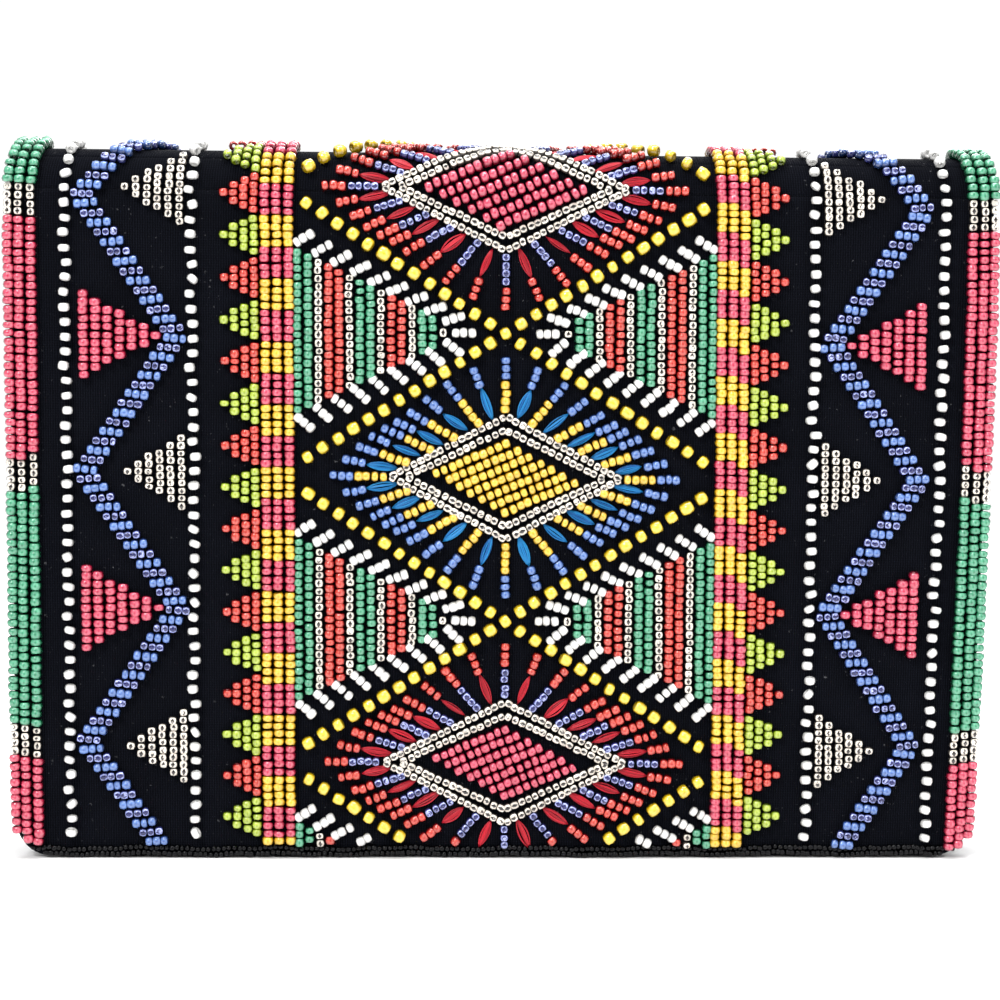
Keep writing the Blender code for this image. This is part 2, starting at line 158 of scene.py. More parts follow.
def addCamera():
    data = bpy.data.cameras.new("camera")
    data.sensor_width = 36
    data.lens = view["lens"]
    data.clip_start = 0.01
    camera = bpy.data.objects.new("camera", data)
    bpy.context.scene.collection.objects.link(camera)
    turn = (
        Matrix.Rotation(math.radians(view["yaw"]), 4, "Z")
        @ Matrix.Rotation(math.radians(view["pitch"]), 4, "X")
        @ Matrix.Rotation(math.radians(view["roll"]), 4, "Y")
        @ Matrix.Rotation(math.radians(90), 4, "X")
    )
    camera.matrix_world = Matrix.Translation(view["place"]) @ turn
    bpy.context.scene.camera = camera


studio = {
    "world": 1.05,
    # a white wall behind the purse fades to a dimmer room in front of it
    "room": 0.20, "roomEnds": -0.15, "wallStarts": 0.45,
    "floorHalf": 0.85, "floorHeight": -0.0002, "floorShade": 0.9, "floorRoughness": 0.9,
    "lamps": (
        # name, place, aim, width, height, watts
        ("keyLamp", (-0.55, -0.9, 0.95), (0, 0, 0.1), 0.36, 0.36, 12.5),
        ("fillLamp", (0.8, -0.8, 0.55), (0, 0, 0.1), 0.6, 0.9, 5.0),
        ("topLamp", (0.0, -0.1, 1.1), (0, 0, 0.15), 0.9, 0.4, 13.0),
        ("backLamp", (0.3, 0.9, 0.7), (0, 0, 0.1), 0.8, 0.6, 8.0),
    ),
}


def addStudio():
    world = bpy.data.worlds.new("studio")
    bpy.context.scene.world = world
    world.use_nodes = True
    tree = world.node_tree
    parts = feed(tree, addNode(tree, "ShaderNodeSeparateXYZ"), {0: place(tree, "Generated")})
    depth = spread(tree, parts.outputs["Y"], studio["roomEnds"], studio["wallStarts"], studio["room"])
    feed(tree, tree.nodes["Background"], {"Strength": studio["world"], "Color": depth})
    for name, spot, aim, width, height, watts in studio["lamps"]:
        data = bpy.data.lights.new(name, "AREA")
        data.shape = "RECTANGLE"
        data.size, data.size_y = width, height
        data.energy = watts
        lamp = bpy.data.objects.new(name, data)
        bpy.context.scene.collection.objects.link(lamp)
        lamp.location = spot
        lamp.rotation_euler = (Vector(aim) - Vector(spot)).to_track_quat("-Z", "Y").to_euler()
    material, tree, shader = startMaterial("paleFloor", studio["floorRoughness"])
    feed(tree, shader, {"Base Color": (*[studio["floorShade"]] * 3, 1)})
    shape = bmesh.new()
    bmesh.ops.create_grid(shape, x_segments=2, y_segments=2, size=studio["floorHalf"])
    floor = newPiece("floor", shape, material)
    floor.location.z = studio["floorHeight"]
    bpy.context.scene.view_settings.view_transform = "Standard"


addCamera()
addStudio()
print("camera and studio ready")

weave = {"wobble": 500, "sway": 0.0003, "fuzz": 0.35, "fibre": 60}


def makeWeaveGroup():
    # two sets of threads, one stronger than the other; the coordinates are metres on the cloth
    group, given, made = newGroup("weave", {"Vector": None, "Thread": 0.0006, "Rib": 0.7},
                                  ("Height", "Shade"))
    wobble = addNoise(group, given["Vector"], weave["wobble"], 3)
    parts = feed(group, addNode(group, "ShaderNodeSeparateXYZ"), {0: given["Vector"]})
    waves = []
    for axis in (0, 1):
        moved = maths(group, "ADD", parts.outputs[axis], maths(group, "MULTIPLY", wobble, weave["sway"]))
        turns = maths(group, "DIVIDE", moved, given["Thread"])
        angle = maths(group, "MULTIPLY", turns, 2 * math.pi)
        waves.append(maths(group, "MULTIPLY_ADD", maths(group, "SINE", angle), 0.5, 0.5))
    rib = maths(group, "MULTIPLY", waves[0], given["Rib"])
    rest = maths(group, "SUBTRACT", 1.0, given["Rib"])
    woven = maths(group, "ADD", rib, maths(group, "MULTIPLY", waves[1], rest))
    height = maths(group, "ADD", woven, maths(group, "MULTIPLY", wobble, weave["fuzz"]))
    fibre = addNoise(group, given["Vector"], weave["fibre"], 4)
    shade = maths(group, "MULTIPLY", woven, spread(group, fibre, 0.3, 0.7, 0.7, 1.2))
    feed(group, made, {"Height": height, "Shade": shade})
    return group


lint = {"speck": 900, "patch": 140}


def makeLintGroup():
    # rare pale fibres and specks on dark cloth
    group, given, made = newGroup("lint", {"Vector": None, "Amount": 0.5}, ("Mask",))
    sharp = spread(group, addNoise(group, given["Vector"], lint["speck"]), 0.66, 0.74)
    where = spread(group, addNoise(group, given["Vector"], lint["patch"]), 0.52, 0.66)
    mask = maths(group, "MULTIPLY", maths(group, "MULTIPLY", sharp, where), given["Amount"])
    feed(group, made, {"Mask": mask})
    return group


glass = {
    "cloud": 700, "marks": 900,
    # black beads are matt, and white ones take less of the painted shade where they meet the cloth
    "coat": 0.8, "coatRoughness": 0.05, "coatIor": 1.65, "blackCoat": 0.12, "blackSpecular": 0.12,
    # the next line also holds the strength of the painted shade on the beads' buried sides and of the
    # painted highlight near their rims
    "depth": 0.68, "whitePaintedShade": 0.3, "paintedHighlight": 0.5, "roughness": 0.2,
    "linedRoughness": 0.22, "linedMetallic": 0.12, "linedCoatRoughness": 0.03,
}


def makeBeadGroup():
    # opaque glass: each bead has its own shade, with a painted highlight as a paler ring near its rim and
    # painted shade darkening the sides where it is buried
    group, given, made = newGroup(
        "beadGlass",
        {"Colour": (1, 1, 1, 1), "Deep": (0, 0, 0, 1), "Painted Highlight": (1, 1, 1, 1), "Painted Highlight Amount": 0.25,
         "Depth": 0.6},
        ("Colour", "Height"),
    )
    crown = attribute(group, "crown")
    cloud = addNoise(group, place(group, "Object"), glass["cloud"])
    deep = spread(group, attribute(group, "tone"), 0.0, 1.0, 0.0, 0.45)
    body = mixColour(group, deep, given["Colour"], given["Deep"])
    # painted highlight: a paler ring round the bead's top
    edge = maths(group, "MULTIPLY", spread(group, crown, 0.52, 0.74), spread(group, crown, 1.0, 0.88))
    paintedHighlight = maths(group, "MULTIPLY", edge, given["Painted Highlight Amount"])
    pale = mixColour(group, paintedHighlight, body, given["Painted Highlight"])
    # painted shade: darker towards the bead's sides, where it sinks into the cloth and meets its neighbours
    paintedShade = maths(group, "MULTIPLY", spread(group, crown, 0.82, 0.15), given["Depth"])
    # the random cloudiness is multiplied by the painted shade
    cloudAndPaintedShade = maths(group, "MULTIPLY", spread(group, cloud, 0.35, 0.65, 0.80, 1.10),
                   maths(group, "SUBTRACT", 1.0, paintedShade))
    feed(group, made, {"Colour": dimmed(group, pale, cloudAndPaintedShade), "Height": cloud})
    return group


def makeLinedGroup():
    # silver-lined glass: a bright lining broken by dark marks, which are painted reflections of the dark
    # thread and hole
    group, given, made = newGroup(
        "linedGlass",
        {"Bright": (1, 1, 1, 1), "Dark": (0, 0, 0, 1), "Painted Reflection": 0.5, "Narrow": 0.0},
        ("Colour", "Height"),
    )
    crown = attribute(group, "crown")
    marks = addNoise(group, place(group, "Object"), glass["marks"], 1)
    # painted reflection: dark marks across the middle of the lining
    middle = spread(group, maths(group, "ADD", crown, given["Narrow"]), 0.78, 0.86)
    paintedReflection = maths(group, "MULTIPLY", middle, spread(group, marks, 0.32, 0.42))
    side = spread(group, maths(group, "SUBTRACT", crown, given["Narrow"]), 0.60, 0.44)
    dark = maths(group, "MAXIMUM", maths(group, "MULTIPLY", paintedReflection, given["Painted Reflection"]),
                 maths(group, "MULTIPLY", side, 0.95))
    shade = mixColour(group, dark, given["Bright"], given["Dark"])
    lit = spread(group, attribute(group, "tone"), 0, 1, 0.75, 1.1)
    feed(group, made, {"Colour": dimmed(group, shade, lit), "Height": marks})
    return group


weaveGroup = makeWeaveGroup()
lintGroup = makeLintGroup()
beadGroup = makeBeadGroup()
linedGroup = makeLinedGroup()


def beadMaterial(name, colour, deep, paintedHighlight):
    material, tree, shader = startMaterial(name, glass["roughness"])
    black = name == "blackGlass"
    # the group paints a highlight ring and the shade of the buried sides into the colour
    mixed = feed(tree, addNode(tree, "ShaderNodeGroup", node_tree=beadGroup), {
        "Colour": (*colour, 1), "Deep": (*deep, 1), "Painted Highlight": (*paintedHighlight, 1), "Painted Highlight Amount": glass["paintedHighlight"],
        "Depth": glass["whitePaintedShade"] if name == "whiteGlass" else glass["depth"],
    })
    feed(tree, shader, {
        "Base Color": mixed.outputs["Colour"],
        "Coat Weight": glass["blackCoat"] if black else glass["coat"],
        "Coat Roughness": glass["coatRoughness"], "Coat IOR": glass["coatIor"],
        "Specular IOR Level": glass["blackSpecular"] if black else 0.5,
    })
    addBump(tree, shader, mixed.outputs["Height"], 0.25, 0.0002)
    return material


def linedMaterial(name, bright, dark, narrow):
    material, tree, shader = startMaterial(name, glass["linedRoughness"], glass["linedMetallic"])
    mixed = feed(tree, addNode(tree, "ShaderNodeGroup", node_tree=linedGroup), {
        "Bright": (*bright, 1), "Dark": (*dark, 1), "Painted Reflection": 1.0, "Narrow": narrow,
    })
    feed(tree, shader, {
        "Base Color": mixed.outputs["Colour"], "Coat Weight": 1.0,
        "Coat Roughness": glass["linedCoatRoughness"],
    })
    addBump(tree, shader, mixed.outputs["Height"], 0.5, 0.0005)
    return material


beadColours = {
    # main shade, deep shade, colour of the painted highlight near the rim
    "green": ((0.017, 0.22, 0.096), (0.007, 0.13, 0.054), (0.17, 0.56, 0.36)),
    "pink": ((0.52, 0.014, 0.060), (0.36, 0.009, 0.035), (0.84, 0.15, 0.23)),
    "red": ((0.51, 0.012, 0.009), (0.32, 0.007, 0.006), (0.82, 0.12, 0.08)),
    "lime": ((0.30, 0.42, 0.008), (0.19, 0.29, 0.006), (0.66, 0.77, 0.15)),
    "gold": ((0.84, 0.46, 0.005), (0.64, 0.29, 0.003), (1.0, 0.74, 0.12)),
    "lemon": ((0.94, 0.63, 0.006), (0.78, 0.46, 0.003), (1.0, 0.84, 0.16)),
    "white": ((0.90, 0.89, 0.87), (0.76, 0.76, 0.74), (1.0, 1.0, 1.0)),
    "blue": ((0.044, 0.115, 0.39), (0.022, 0.06, 0.26), (0.21, 0.36, 0.75)),
    "black": ((0.0012, 0.0012, 0.0018), (0.0008, 0.0008, 0.0010), (0.005, 0.005, 0.007)),
}
linedColours = {
    # lining, glass beside it, how much narrower the lining looks
    "silver": ((0.98, 0.90, 0.80), (0.016, 0.011, 0.009), 0.0),
    "navy": ((0.44, 0.50, 0.92), (0.004, 0.007, 0.110), 0.06),
}
beadMaterials = {name: beadMaterial(name + "Glass", *shades) for name, shades in beadColours.items()}
for name, shades in linedColours.items():
    beadMaterials[name] = linedMaterial(name + "LinedGlass", *shades)
print("bead materials ready")


# the surface that everything is sewn to
softness = {
    "wave": 0.00035,  # slow waves of the flap
    "waveFade": 0.03,  # how far under the fold they begin
    "draw": 0.026,  # how far the fold's ends are drawn in
    "drawReach": 0.0120,  # how far from the crest that is felt
    "taperLeft": 0.011,  # how much each side of the flap draws in towards its hem
    "taperRight": 0.024,
    "rise": 0.001,  # how much the hem climbs towards the right
    "flatness": 2.7,  # 2 makes the fold a half circle, more makes it squarer
    "lean": 0.0060,  # the pattern sits a little lower towards the right
    "sink": 0.00104,  # how far the whole pattern has slipped down
    "drift": 0.0013,  # how far the middle of the pattern moves right near the hem
    "fine": 720,  # steps round the fold for measuring it
    "steps": 240,  # even steps along it
}


def squarer(cos, sin):
    # how much farther out the fold's section is than a circle
    flat = softness["flatness"]
    return (abs(cos) ** flat + abs(sin) ** flat) ** (-1 / flat)


def measureFold():
    # the length of an even step along the fold, the angle at each step, and the whole length
    fine, steps = softness["fine"], softness["steps"]
    points = []
    for number in range(fine + 1):
        angle = math.pi * number / fine
        cos, sin = math.cos(angle), math.sin(angle)
        size = beadTurn * squarer(cos, sin)
        points.append((angle, size * cos, size * sin))
    lengths = [0.0]
    for first, second in zip(points, points[1:]):
        lengths.append(lengths[-1] + math.dist(first[1:], second[1:]))
    step = lengths[-1] / steps
    angles = []
    number = 0
    for k in range(steps + 1):
        while number < fine - 1 and lengths[number + 1] < k * step:
            number += 1
        share = (k * step - lengths[number]) / (lengths[number + 1] - lengths[number])
        angles.append(points[number][0] + share * math.pi / fine)
    return step, angles, lengths[-1]


foldStep, foldAngles, foldLength = measureFold()
crest = foldZ + foldLength / 2


def heightAt(degrees):
    # the pattern's height where the fold has turned this far
    turned = math.radians(degrees)
    number = min(range(len(foldAngles)), key=lambda k: abs(foldAngles[k] - turned))
    return foldZ + number * foldStep


def drawnIn(v):
    return 1 - softness["draw"] * math.exp(-((v - crest) / softness["drawReach"]) ** 2)


def wave(u, v):
    fade = min(1.0, max(0.0, (foldZ - v) / softness["waveFade"]))
    swell = math.sin(u * 38 + 1.3) * math.sin(v * 31 + 0.4) + 0.6 * math.sin(u * 71 - v * 53)
    return softness["wave"] * swell * fade


def foldTurn(v):
    # how far round the fold the beads' middles are, in radians
    position = min(max((v - foldZ) / foldStep, 0.0), len(foldAngles) - 1.001)
    number = int(position)
    share = position - number
    return foldAngles[number] * (1 - share) + foldAngles[number + 1] * share


def onPurse(u, v, lift=0.0):
    # u runs across, v up from the hem and on over the fold; X right, Y along, Z out of the cloth
    low = max(0.0, 1 - v / foldZ)
    v += softness["rise"] * max(0.0, u) * low * low
    angle = foldTurn(v)
    past = max(0.0, v - foldZ - foldLength)
    cos, sin = math.cos(angle), math.sin(angle)
    stretch = squarer(cos, sin)
    power = softness["flatness"] - 1
    out = Vector((0, -math.copysign(abs(cos) ** power, cos), abs(sin) ** power)).normalized()
    along = Vector((0, out.z, -out.y))
    taper = softness["taperRight"] * low * low if u > 0 else softness["taperLeft"] * low
    taper *= (u / canvasHalf) ** 2
    place = Vector((u * drawnIn(v) * (1 - taper), foldY - cos * stretch * foldRadius,
                    min(v, foldZ) + sin * stretch * foldRadius))
    place += out * (lift + wave(u, v)) + along * past
    frameHere = Matrix((Vector((1, 0, 0)), along, out)).transposed().to_4x4()
    return Matrix.Translation(place) @ frameHere


def patternAt(u, v):
    # where a point of the drawn pattern is really sewn
    low = max(0.0, 1 - v / foldZ) ** 0.7
    u += softness["drift"] * low * (1 - (u / canvasHalf) ** 4)
    return u, v - softness["sink"] - softness["lean"] * u


zones = (
    # each stretch of cloth, from the flap to the back: its two bodies and its pieces' ending
    ("flap", None, ""),
    ("fold_front", "flap", "FoldFront"),
    ("fold_top", "fold_front", "FoldCrest"),
    ("fold_rear", "fold_top", "FoldRear"),
    ("body", "fold_rear", "FoldBack"),
)


def zoneOf(v):
    if v <= foldZ + 0.0002:
        return 0
    return min(4, 1 + int(math.degrees(foldTurn(v)) / 45))


def setOnBody(piece, zone):
    if zone == 0:
        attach(piece, "flap")
        return
    near = onPurse(0, heightAt(45 * (zone - 1))).translation
    far = onPurse(0, heightAt(45 * zone)).translation
    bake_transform(piece)


beadShapes = {
    # width across the hole, length along it
    "round": (0.00306, 0.00192),
    "slim": (0.00262, 0.00190),
    "band": (0.00298, 0.00190),
    "bar": (0.00264, 0.00194),
    "big": (0.00350, 0.00285),
    "lined": (0.00236, 0.00178),
    "hem": (0.00150, 0.00125),
    "dot": (0.00300, 0.00196),
}
# the section of a bead, as distance from the hole's axis and place along it
barrel = (
    (0.17, 0.36), (0.31, 0.50), (0.435, 0.38), (0.50, 0.0), (0.435, -0.38), (0.31, -0.50), (0.17, -0.36),
)
quarterTurn = math.pi / 2
# how unevenly the beads are made and sewn
uneven = {"tilt": 0.075, "rock": 0.09, "size": 0.040, "length": 0.085, "sunk": 0.49, "lift": 0.025,
          "across": 0.00009, "along": 0.00008}


def makeBead():
    shape = bmesh.new()
    ring = [shape.verts.new((radius, along, 0)) for radius, along in barrel]
    edges = [shape.edges.new(pair) for pair in zip(ring, ring[1:] + ring[:1])]
    bmesh.ops.spin(
        shape, geom=ring + edges, cent=(0, 0, 0), axis=(0, 1, 0), angle=2 * math.pi, steps=8,
        use_merge=True,
    )
    bmesh.ops.remove_doubles(shape, verts=shape.verts, dist=1e-5)
    bmesh.ops.recalc_face_normals(shape, faces=shape.faces)
    mesh = bpy.data.meshes.new("bead")
    shape.to_mesh(mesh)
    shape.free()
    mesh.polygons.foreach_set("use_smooth", [True] * len(mesh.polygons))
    crown = mesh.attributes.new("crown", "FLOAT", "POINT")
    crown.data.foreach_set("value", [max(0.0, v.co.z / 0.5) for v in mesh.vertices])
    mesh.attributes.new("tone", "FLOAT", "POINT")
    return mesh


bead = makeBead()


def sewBeads(name, beads, replaced=(), seed=1, shifted=True):
    # beads: (u, v, angle of the hole, shape, colour); one object for each stretch of cloth
    dice = random.Random(seed)
    stretches = {}
    for item in beads:
        u, v = patternAt(*item[:2]) if shifted else item[:2]
        stretches.setdefault(zoneOf(v), []).append((u, v, *item[2:]))
    for zone, items in sorted(stretches.items()):
        colours = []
        shape = bmesh.new()
        for u, v, angle, kind, colour in items:
            width, length = beadShapes[kind]
            if colour not in colours:
                colours.append(colour)
            tilt = dice.gauss(0, uneven["tilt"])
            rock = dice.gauss(0, uneven["rock"])
            wide = width * (1 + dice.gauss(0, uneven["size"]))
            long = length * (1 + dice.gauss(0, uneven["length"]))
            lift = width * (uneven["sunk"] + dice.gauss(0, uneven["lift"]))
            move = onPurse(u + dice.gauss(0, uneven["across"]), v + dice.gauss(0, uneven["along"]), lift)
            move = move @ Matrix.Rotation(angle - quarterTurn + tilt, 4, "Z")
            move = move @ Matrix.Rotation(rock, 4, "X") @ Matrix.Diagonal((wide, long, wide, 1))
            bead.attributes["tone"].data.foreach_set("value", [dice.random()] * len(bead.vertices))
            bead.polygons.foreach_set("material_index", [colours.index(colour)] * len(bead.polygons))
            bead.transform(move)
            shape.from_mesh(bead)
            bead.transform(move.inverted())
        piece = newPiece(name + zones[zone][2], shape, *[beadMaterials[colour] for colour in colours])
        setOnBody(piece, zone)
    if replaced:
        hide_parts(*replaced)


def bar(u, v, angle, count, pitch, kind, colour):
    # a short string of beads on one line
    beads = []
    for number in range(count):
        step = (number - (count - 1) / 2) * pitch
        beads.append((u + step * math.cos(angle), v + step * math.sin(angle), angle, kind, colour))
    return beads


def column(u, low, high, pitch, kind, colourAt):
    count = max(1, round((high - low) / pitch))
    step = (high - low) / count
    heights = [low + (number + 0.5) * step for number in range(count)]
    return [(u, v, quarterTurn, kind, colourAt(v)) for v in heights]


hemTop = 0.0042
snug = 0.00205  # the step between beads that touch
backEnd = heightAt(150)  # the beadwork ends just over the back of the fold

border = {
    "columns": (0.1199, 0.1229, 0.1256),
    "pitch": 0.00206,
    "starts": (-0.0006, 0.0, 0.0026),
    # the outer columns move in by this much for each column, near the bottom corner
    "tuck": 0.0014,
    "tuckHeight": 0.012,
    "bounds": ((0.0268, "pink"), (0.0350, "silver"), (0.0955, "green"), (0.1038, "silver"),
               (0.1644, "pink"), (0.1726, "silver")),
}


def borderColour(v):
    for limit, colour in border["bounds"]:
        if v < limit:
            return colour
    return "green"


def sewBorders():
    for side, word in sides:
        beads = []
        for number, x in enumerate(border["columns"]):
            start = hemTop + border["starts"][number]
            for u, v, angle, kind, colour in column(side * x, start, backEnd, border["pitch"], "round",
                                                    borderColour):
                kind = "lined" if colour == "silver" else kind
                inward = border["tuck"] * max(0.0, 1 - v / border["tuckHeight"]) ** 2 * number
                beads.append((u - side * inward, v, angle, kind, colour))
        sewBeads("border_" + word + "_beads", beads, ("border_" + word,), 11 + side)


dotted = {
    # the outer and the inner line of each side
    "left": (0.1116, 0.0797), "right": (0.1128, 0.0794),
    "pitch": 0.00375, "above": 0.0008, "stray": 0.00025, "tilt": 0.10,
    # some beads are turned much more than the rest
    "turnedShare": 0.25, "turnedTilt": 0.5,
}


def sewDottedLines():
    for side, word in sides:
        for line, x in zip(("outer", "inner"), dotted[word]):
            dice = random.Random(31 + side * 2 + int(x * 1000))
            beads = []
            for u, v, angle, kind, colour in column(side * x, hemTop + dotted["above"], backEnd,
                                                    dotted["pitch"], "dot", lambda v: "white"):
                turned = dice.random() < dotted["turnedShare"]
                u += dice.gauss(0, dotted["stray"])
                angle += dice.gauss(0, dotted["turnedTilt" if turned else "tilt"])
                beads.append((u, v, angle, kind, colour))
            sewBeads(f"dotted_{line}_{word}", beads, (), 37 + side)


zigzag = {
    "outer": 0.1073, "inner": 0.0836,
    # the height of the first inner turn, and from turn to turn
    "first": 0.0306, "step": 0.0348,
    "rows": 0.00240, "bead": 0.00207, "above": 0.0006, "lean": 0.10,
}


def zigzagX(v):
    number = (v - zigzag["first"]) / zigzag["step"]
    share = abs((number % 2) - 1)  # 1 at an outer turn, 0 at an inner one
    return zigzag["inner"] + (zigzag["outer"] - zigzag["inner"]) * share


def sewZigzags():
    for side, word in sides:
        beads = []
        v = hemTop + zigzag["above"]
        number = 0
        while v < backEnd:
            slope = zigzagX(v + 0.001) - zigzagX(v - 0.001)
            lean = side * -zigzag["lean"] * (1 if slope > 0 else -1)
            colour, kind = (("blue", "bar"), ("navy", "lined"))[number % 2]
            beads += bar(side * zigzagX(v), v, lean, 3, zigzag["bead"], kind, colour)
            v += zigzag["rows"]
            number += 1
        sewBeads("zigzag_" + word + "_beads", beads, ("zigzag_" + word,), 51 + side)


band = {
    "columns": (0.0552, 0.0582, 0.0611), "late": (0.0, 0.0003, 0.0011),
    # the columns of a tooth and the beads in each, and the step from tooth to tooth
    "teeth": (0.0639, 0.0664, 0.0690, 0.0715), "rows": (5, 4, 3, 1), "step": 0.01066,
    # left and right: the lowest tooth, where a block starts, the height of a block
    "first": (0.0114, 0.0124), "phase": (0.0145, 0.0165), "block": (0.00797, 0.00733),
}


def bandColour(v, right):
    block = math.floor((v - band["phase"][right]) / band["block"][right])
    return "gold" if block % 2 == 0 else "pink"


def sewBands():
    for side, word in sides:
        beads = []
        right = side > 0
        for x, late in zip(band["columns"], band["late"]):
            beads += column(side * x, hemTop, backEnd, band["block"][right] / 4, "band",
                            lambda v: bandColour(v + late, right))
        number = 0
        while band["first"][right] + (number + 0.5) * band["step"] < backEnd:
            middle = band["first"][right] + number * band["step"]
            colour = ("lime", "red")[number % 2]
            for x, rows in zip(band["teeth"], band["rows"]):
                beads += bar(side * x, middle, quarterTurn, rows, snug, "slim", colour)
            number += 1
        sewBeads("toothed_band_" + word + "_beads", beads, ("toothed_band_" + word,),
                 61 + side)


ornament = {
    "middle": 0.0998, "step": 0.0738, "reach": 0.0286, "height": 0.0158,
    "innerReach": 0.0246, "innerHeight": 0.0124, "pitch": 0.00196,
    "rays": 40, "sizes": {"upper": 1.10, "middle": 1.035, "lower": 1.09},
    # where a ray's two strings of beads begin, out from the outline
    "near": 0.0049, "gap": 0.0074, "linedPitch": 0.0020,
    # degrees of a ray halfway round, how much steeper it is at the top, and how fast each changes
    "halfway": 25, "steeper": 65, "topCurve": 1.8, "sideCurve": 2.5,
    # rows and beads of the filling, the step between rows, the step between beads
    "fills": ((7, 10, 0.00292, -0.00163, 0.00197, 0.00084, "bar"),
              (6, 11, 0.00366, -0.00190, 0.00210, 0.00092, "round")),
}


def rayDirection(share):
    # from flat at the side point to upright at the top point
    lean = 2 * share - 1
    halfway = ornament["halfway"]
    if lean > 0:
        return math.radians(halfway + ornament["steeper"] * lean ** ornament["topCurve"])
    return math.radians(halfway - halfway * abs(lean) ** ornament["sideCurve"])


def ornamentRays(middle, size=1.0):
    # (u, v, angle, number) of every ray's foot on the outline
    rays = []
    perQuarter = ornament["rays"] // 4
    for quarter in range(4):
        left = -1 if quarter in (1, 2) else 1
        down = -1 if quarter in (2, 3) else 1
        steps = range(0, perQuarter + 1) if quarter in (0, 2) else range(1, perQuarter)
        for number in steps:
            share = number / perQuarter
            angle = rayDirection(share)
            u = left * ornament["reach"] * size * (1 - share)
            v = middle + down * ornament["height"] * share
            rays.append((u, v, math.atan2(down * math.sin(angle), left * math.cos(angle)), number))
    return rays


def sewOrnament(word, middle, fill, barColour, barKind, outerColour, replaced):
    beads = []
    wide = ornament["sizes"][word]
    rows, count, stepU, stepV, beadU, beadV, fillKind = ornament["fills"][word == "upper"]
    for reach, height in ((ornament["reach"] * wide, ornament["height"]),
                          (ornament["innerReach"] * wide, ornament["innerHeight"])):
        length = math.hypot(reach, height)
        number = round(length / ornament["pitch"])
        for left, down in ((1, 1), (-1, 1), (-1, -1), (1, -1)):
            angle = math.atan2(down * height, -left * reach)
            for share in [(k + 0.5) / number for k in range(number)]:
                beads.append((left * reach * (1 - share), middle + down * height * share, angle,
                              "lined", "silver"))
    angle = math.atan2(beadV, beadU)
    for row in [k - (rows - 1) / 2 for k in range(rows)]:
        for along in [k - (count - 1) / 2 for k in range(count)]:
            beads.append((row * stepU + along * beadU, middle + row * stepV + along * beadV, angle,
                          fillKind, fill))
    for u, v, angle, number in ornamentRays(middle, wide):
        near = ornament["near"]
        far = near + ornament["gap"]
        if number % 2 == 0:
            pitch = snug if barKind == "bar" else ornament["linedPitch"]
            beads += bar(u + near * math.cos(angle), v + near * math.sin(angle), angle, 4, pitch,
                         barKind, barColour)
        beads += bar(u + far * math.cos(angle), v + far * math.sin(angle), angle, 3, snug, "bar",
                     outerColour)
    beads = [item for item in beads if hemTop < item[1] < backEnd]
    sewBeads("diamond_" + word + "_beads", beads, replaced, 71 + len(word))


stripes = {
    "first": 0.0530, "step": 0.00264, "tall": 0.0209, "short": 0.0032, "pitch": 0.00204,
    "colours": ("green", "green", "silver", "red", "red", "silver", "green", "green", "silver",
                "red", "red", "silver", "green", "green", "silver"),
    "tip": 0.0010,
    # the white bars above and below: their number, from where to where, and their leans in degrees
    "bars": 9, "barFirst": 0.0514, "barLast": 0.0134, "barHigh": 0.0233, "barLow": 0.0036,
    "upLean": 32, "upLess": 14, "downLean": 39, "lastBar": 0.0107, "overFold": 0.02,
}


def sewStripes():
    for side, word in sides:
        for level, number in (("upper", 0.5), ("lower", -0.5), ("hem", -1.5)):
            middle = ornament["middle"] + number * ornament["step"]
            beads = []
            for index, colour in enumerate(stripes["colours"]):
                x = side * (stripes["first"] - index * stripes["step"])
                share = index / (len(stripes["colours"]) - 1)
                half = stripes["tall"] + (stripes["short"] - stripes["tall"]) * share
                if index == len(stripes["colours"]) - 1:
                    half = stripes["tip"]
                kind = "lined" if colour == "silver" else "slim"
                beads += column(x, middle - half, middle + half, stripes["pitch"], kind,
                                lambda v: colour)
            for index in range(stripes["bars"]):
                share = index / (stripes["bars"] - 1)
                x = stripes["barFirst"] + (stripes["barLast"] - stripes["barFirst"]) * share
                rise = stripes["barHigh"] + (stripes["barLow"] - stripes["barHigh"]) * share
                upLean = math.radians(stripes["upLean"] - stripes["upLess"] * share)
                downLean = math.radians(stripes["downLean"])
                beads += bar(side * x, middle + rise, -side * upLean, 3, snug, "bar", "white")
                beads += bar(side * x, middle - rise, side * downLean, 3, snug, "bar", "white")
            beads += bar(side * stripes["lastBar"], middle, 0, 3, snug, "bar", "white")
            beads = [item for item in beads if hemTop < item[1] < foldZ + stripes["overFold"]]
            replaced = () if level == "hem" else (f"stripes_{level}_{word}",)
            sewBeads(f"stripes_{level}_{word}_beads", beads, replaced,
                     81 + side + int(number * 2))


wedges = {
    # the base's place, the step to the next column (inwards or outwards), beads in each column
    "pink": (0.1070, -0.00303, (11, 9, 7, 6, 4, 3, 1), snug, "round"),
    "silver": (0.0826, 0.00274, (10, 8, 6, 5, 3, 1), 0.00192, "lined"),
    # the turn of the zigzag that each wedge sits in, and how far it is off the turn's height
    "pinkPlaces": (("upper", 3, 0.0), ("lower", 1, 0.0)),
    "silverPlaces": (("top", 4, 0.0026), ("middle", 2, 0.0002), ("bottom", 0, -0.0010)),
}


def wedgeBeads(side, colour, number, shift):
    base, step, columns, pitch, kind = wedges[colour]
    middle = zigzag["first"] + number * zigzag["step"] + shift
    beads = []
    for index, rows in enumerate(columns):
        beads += bar(side * (base + index * step), middle, quarterTurn, rows, pitch, kind, colour)
    return beads


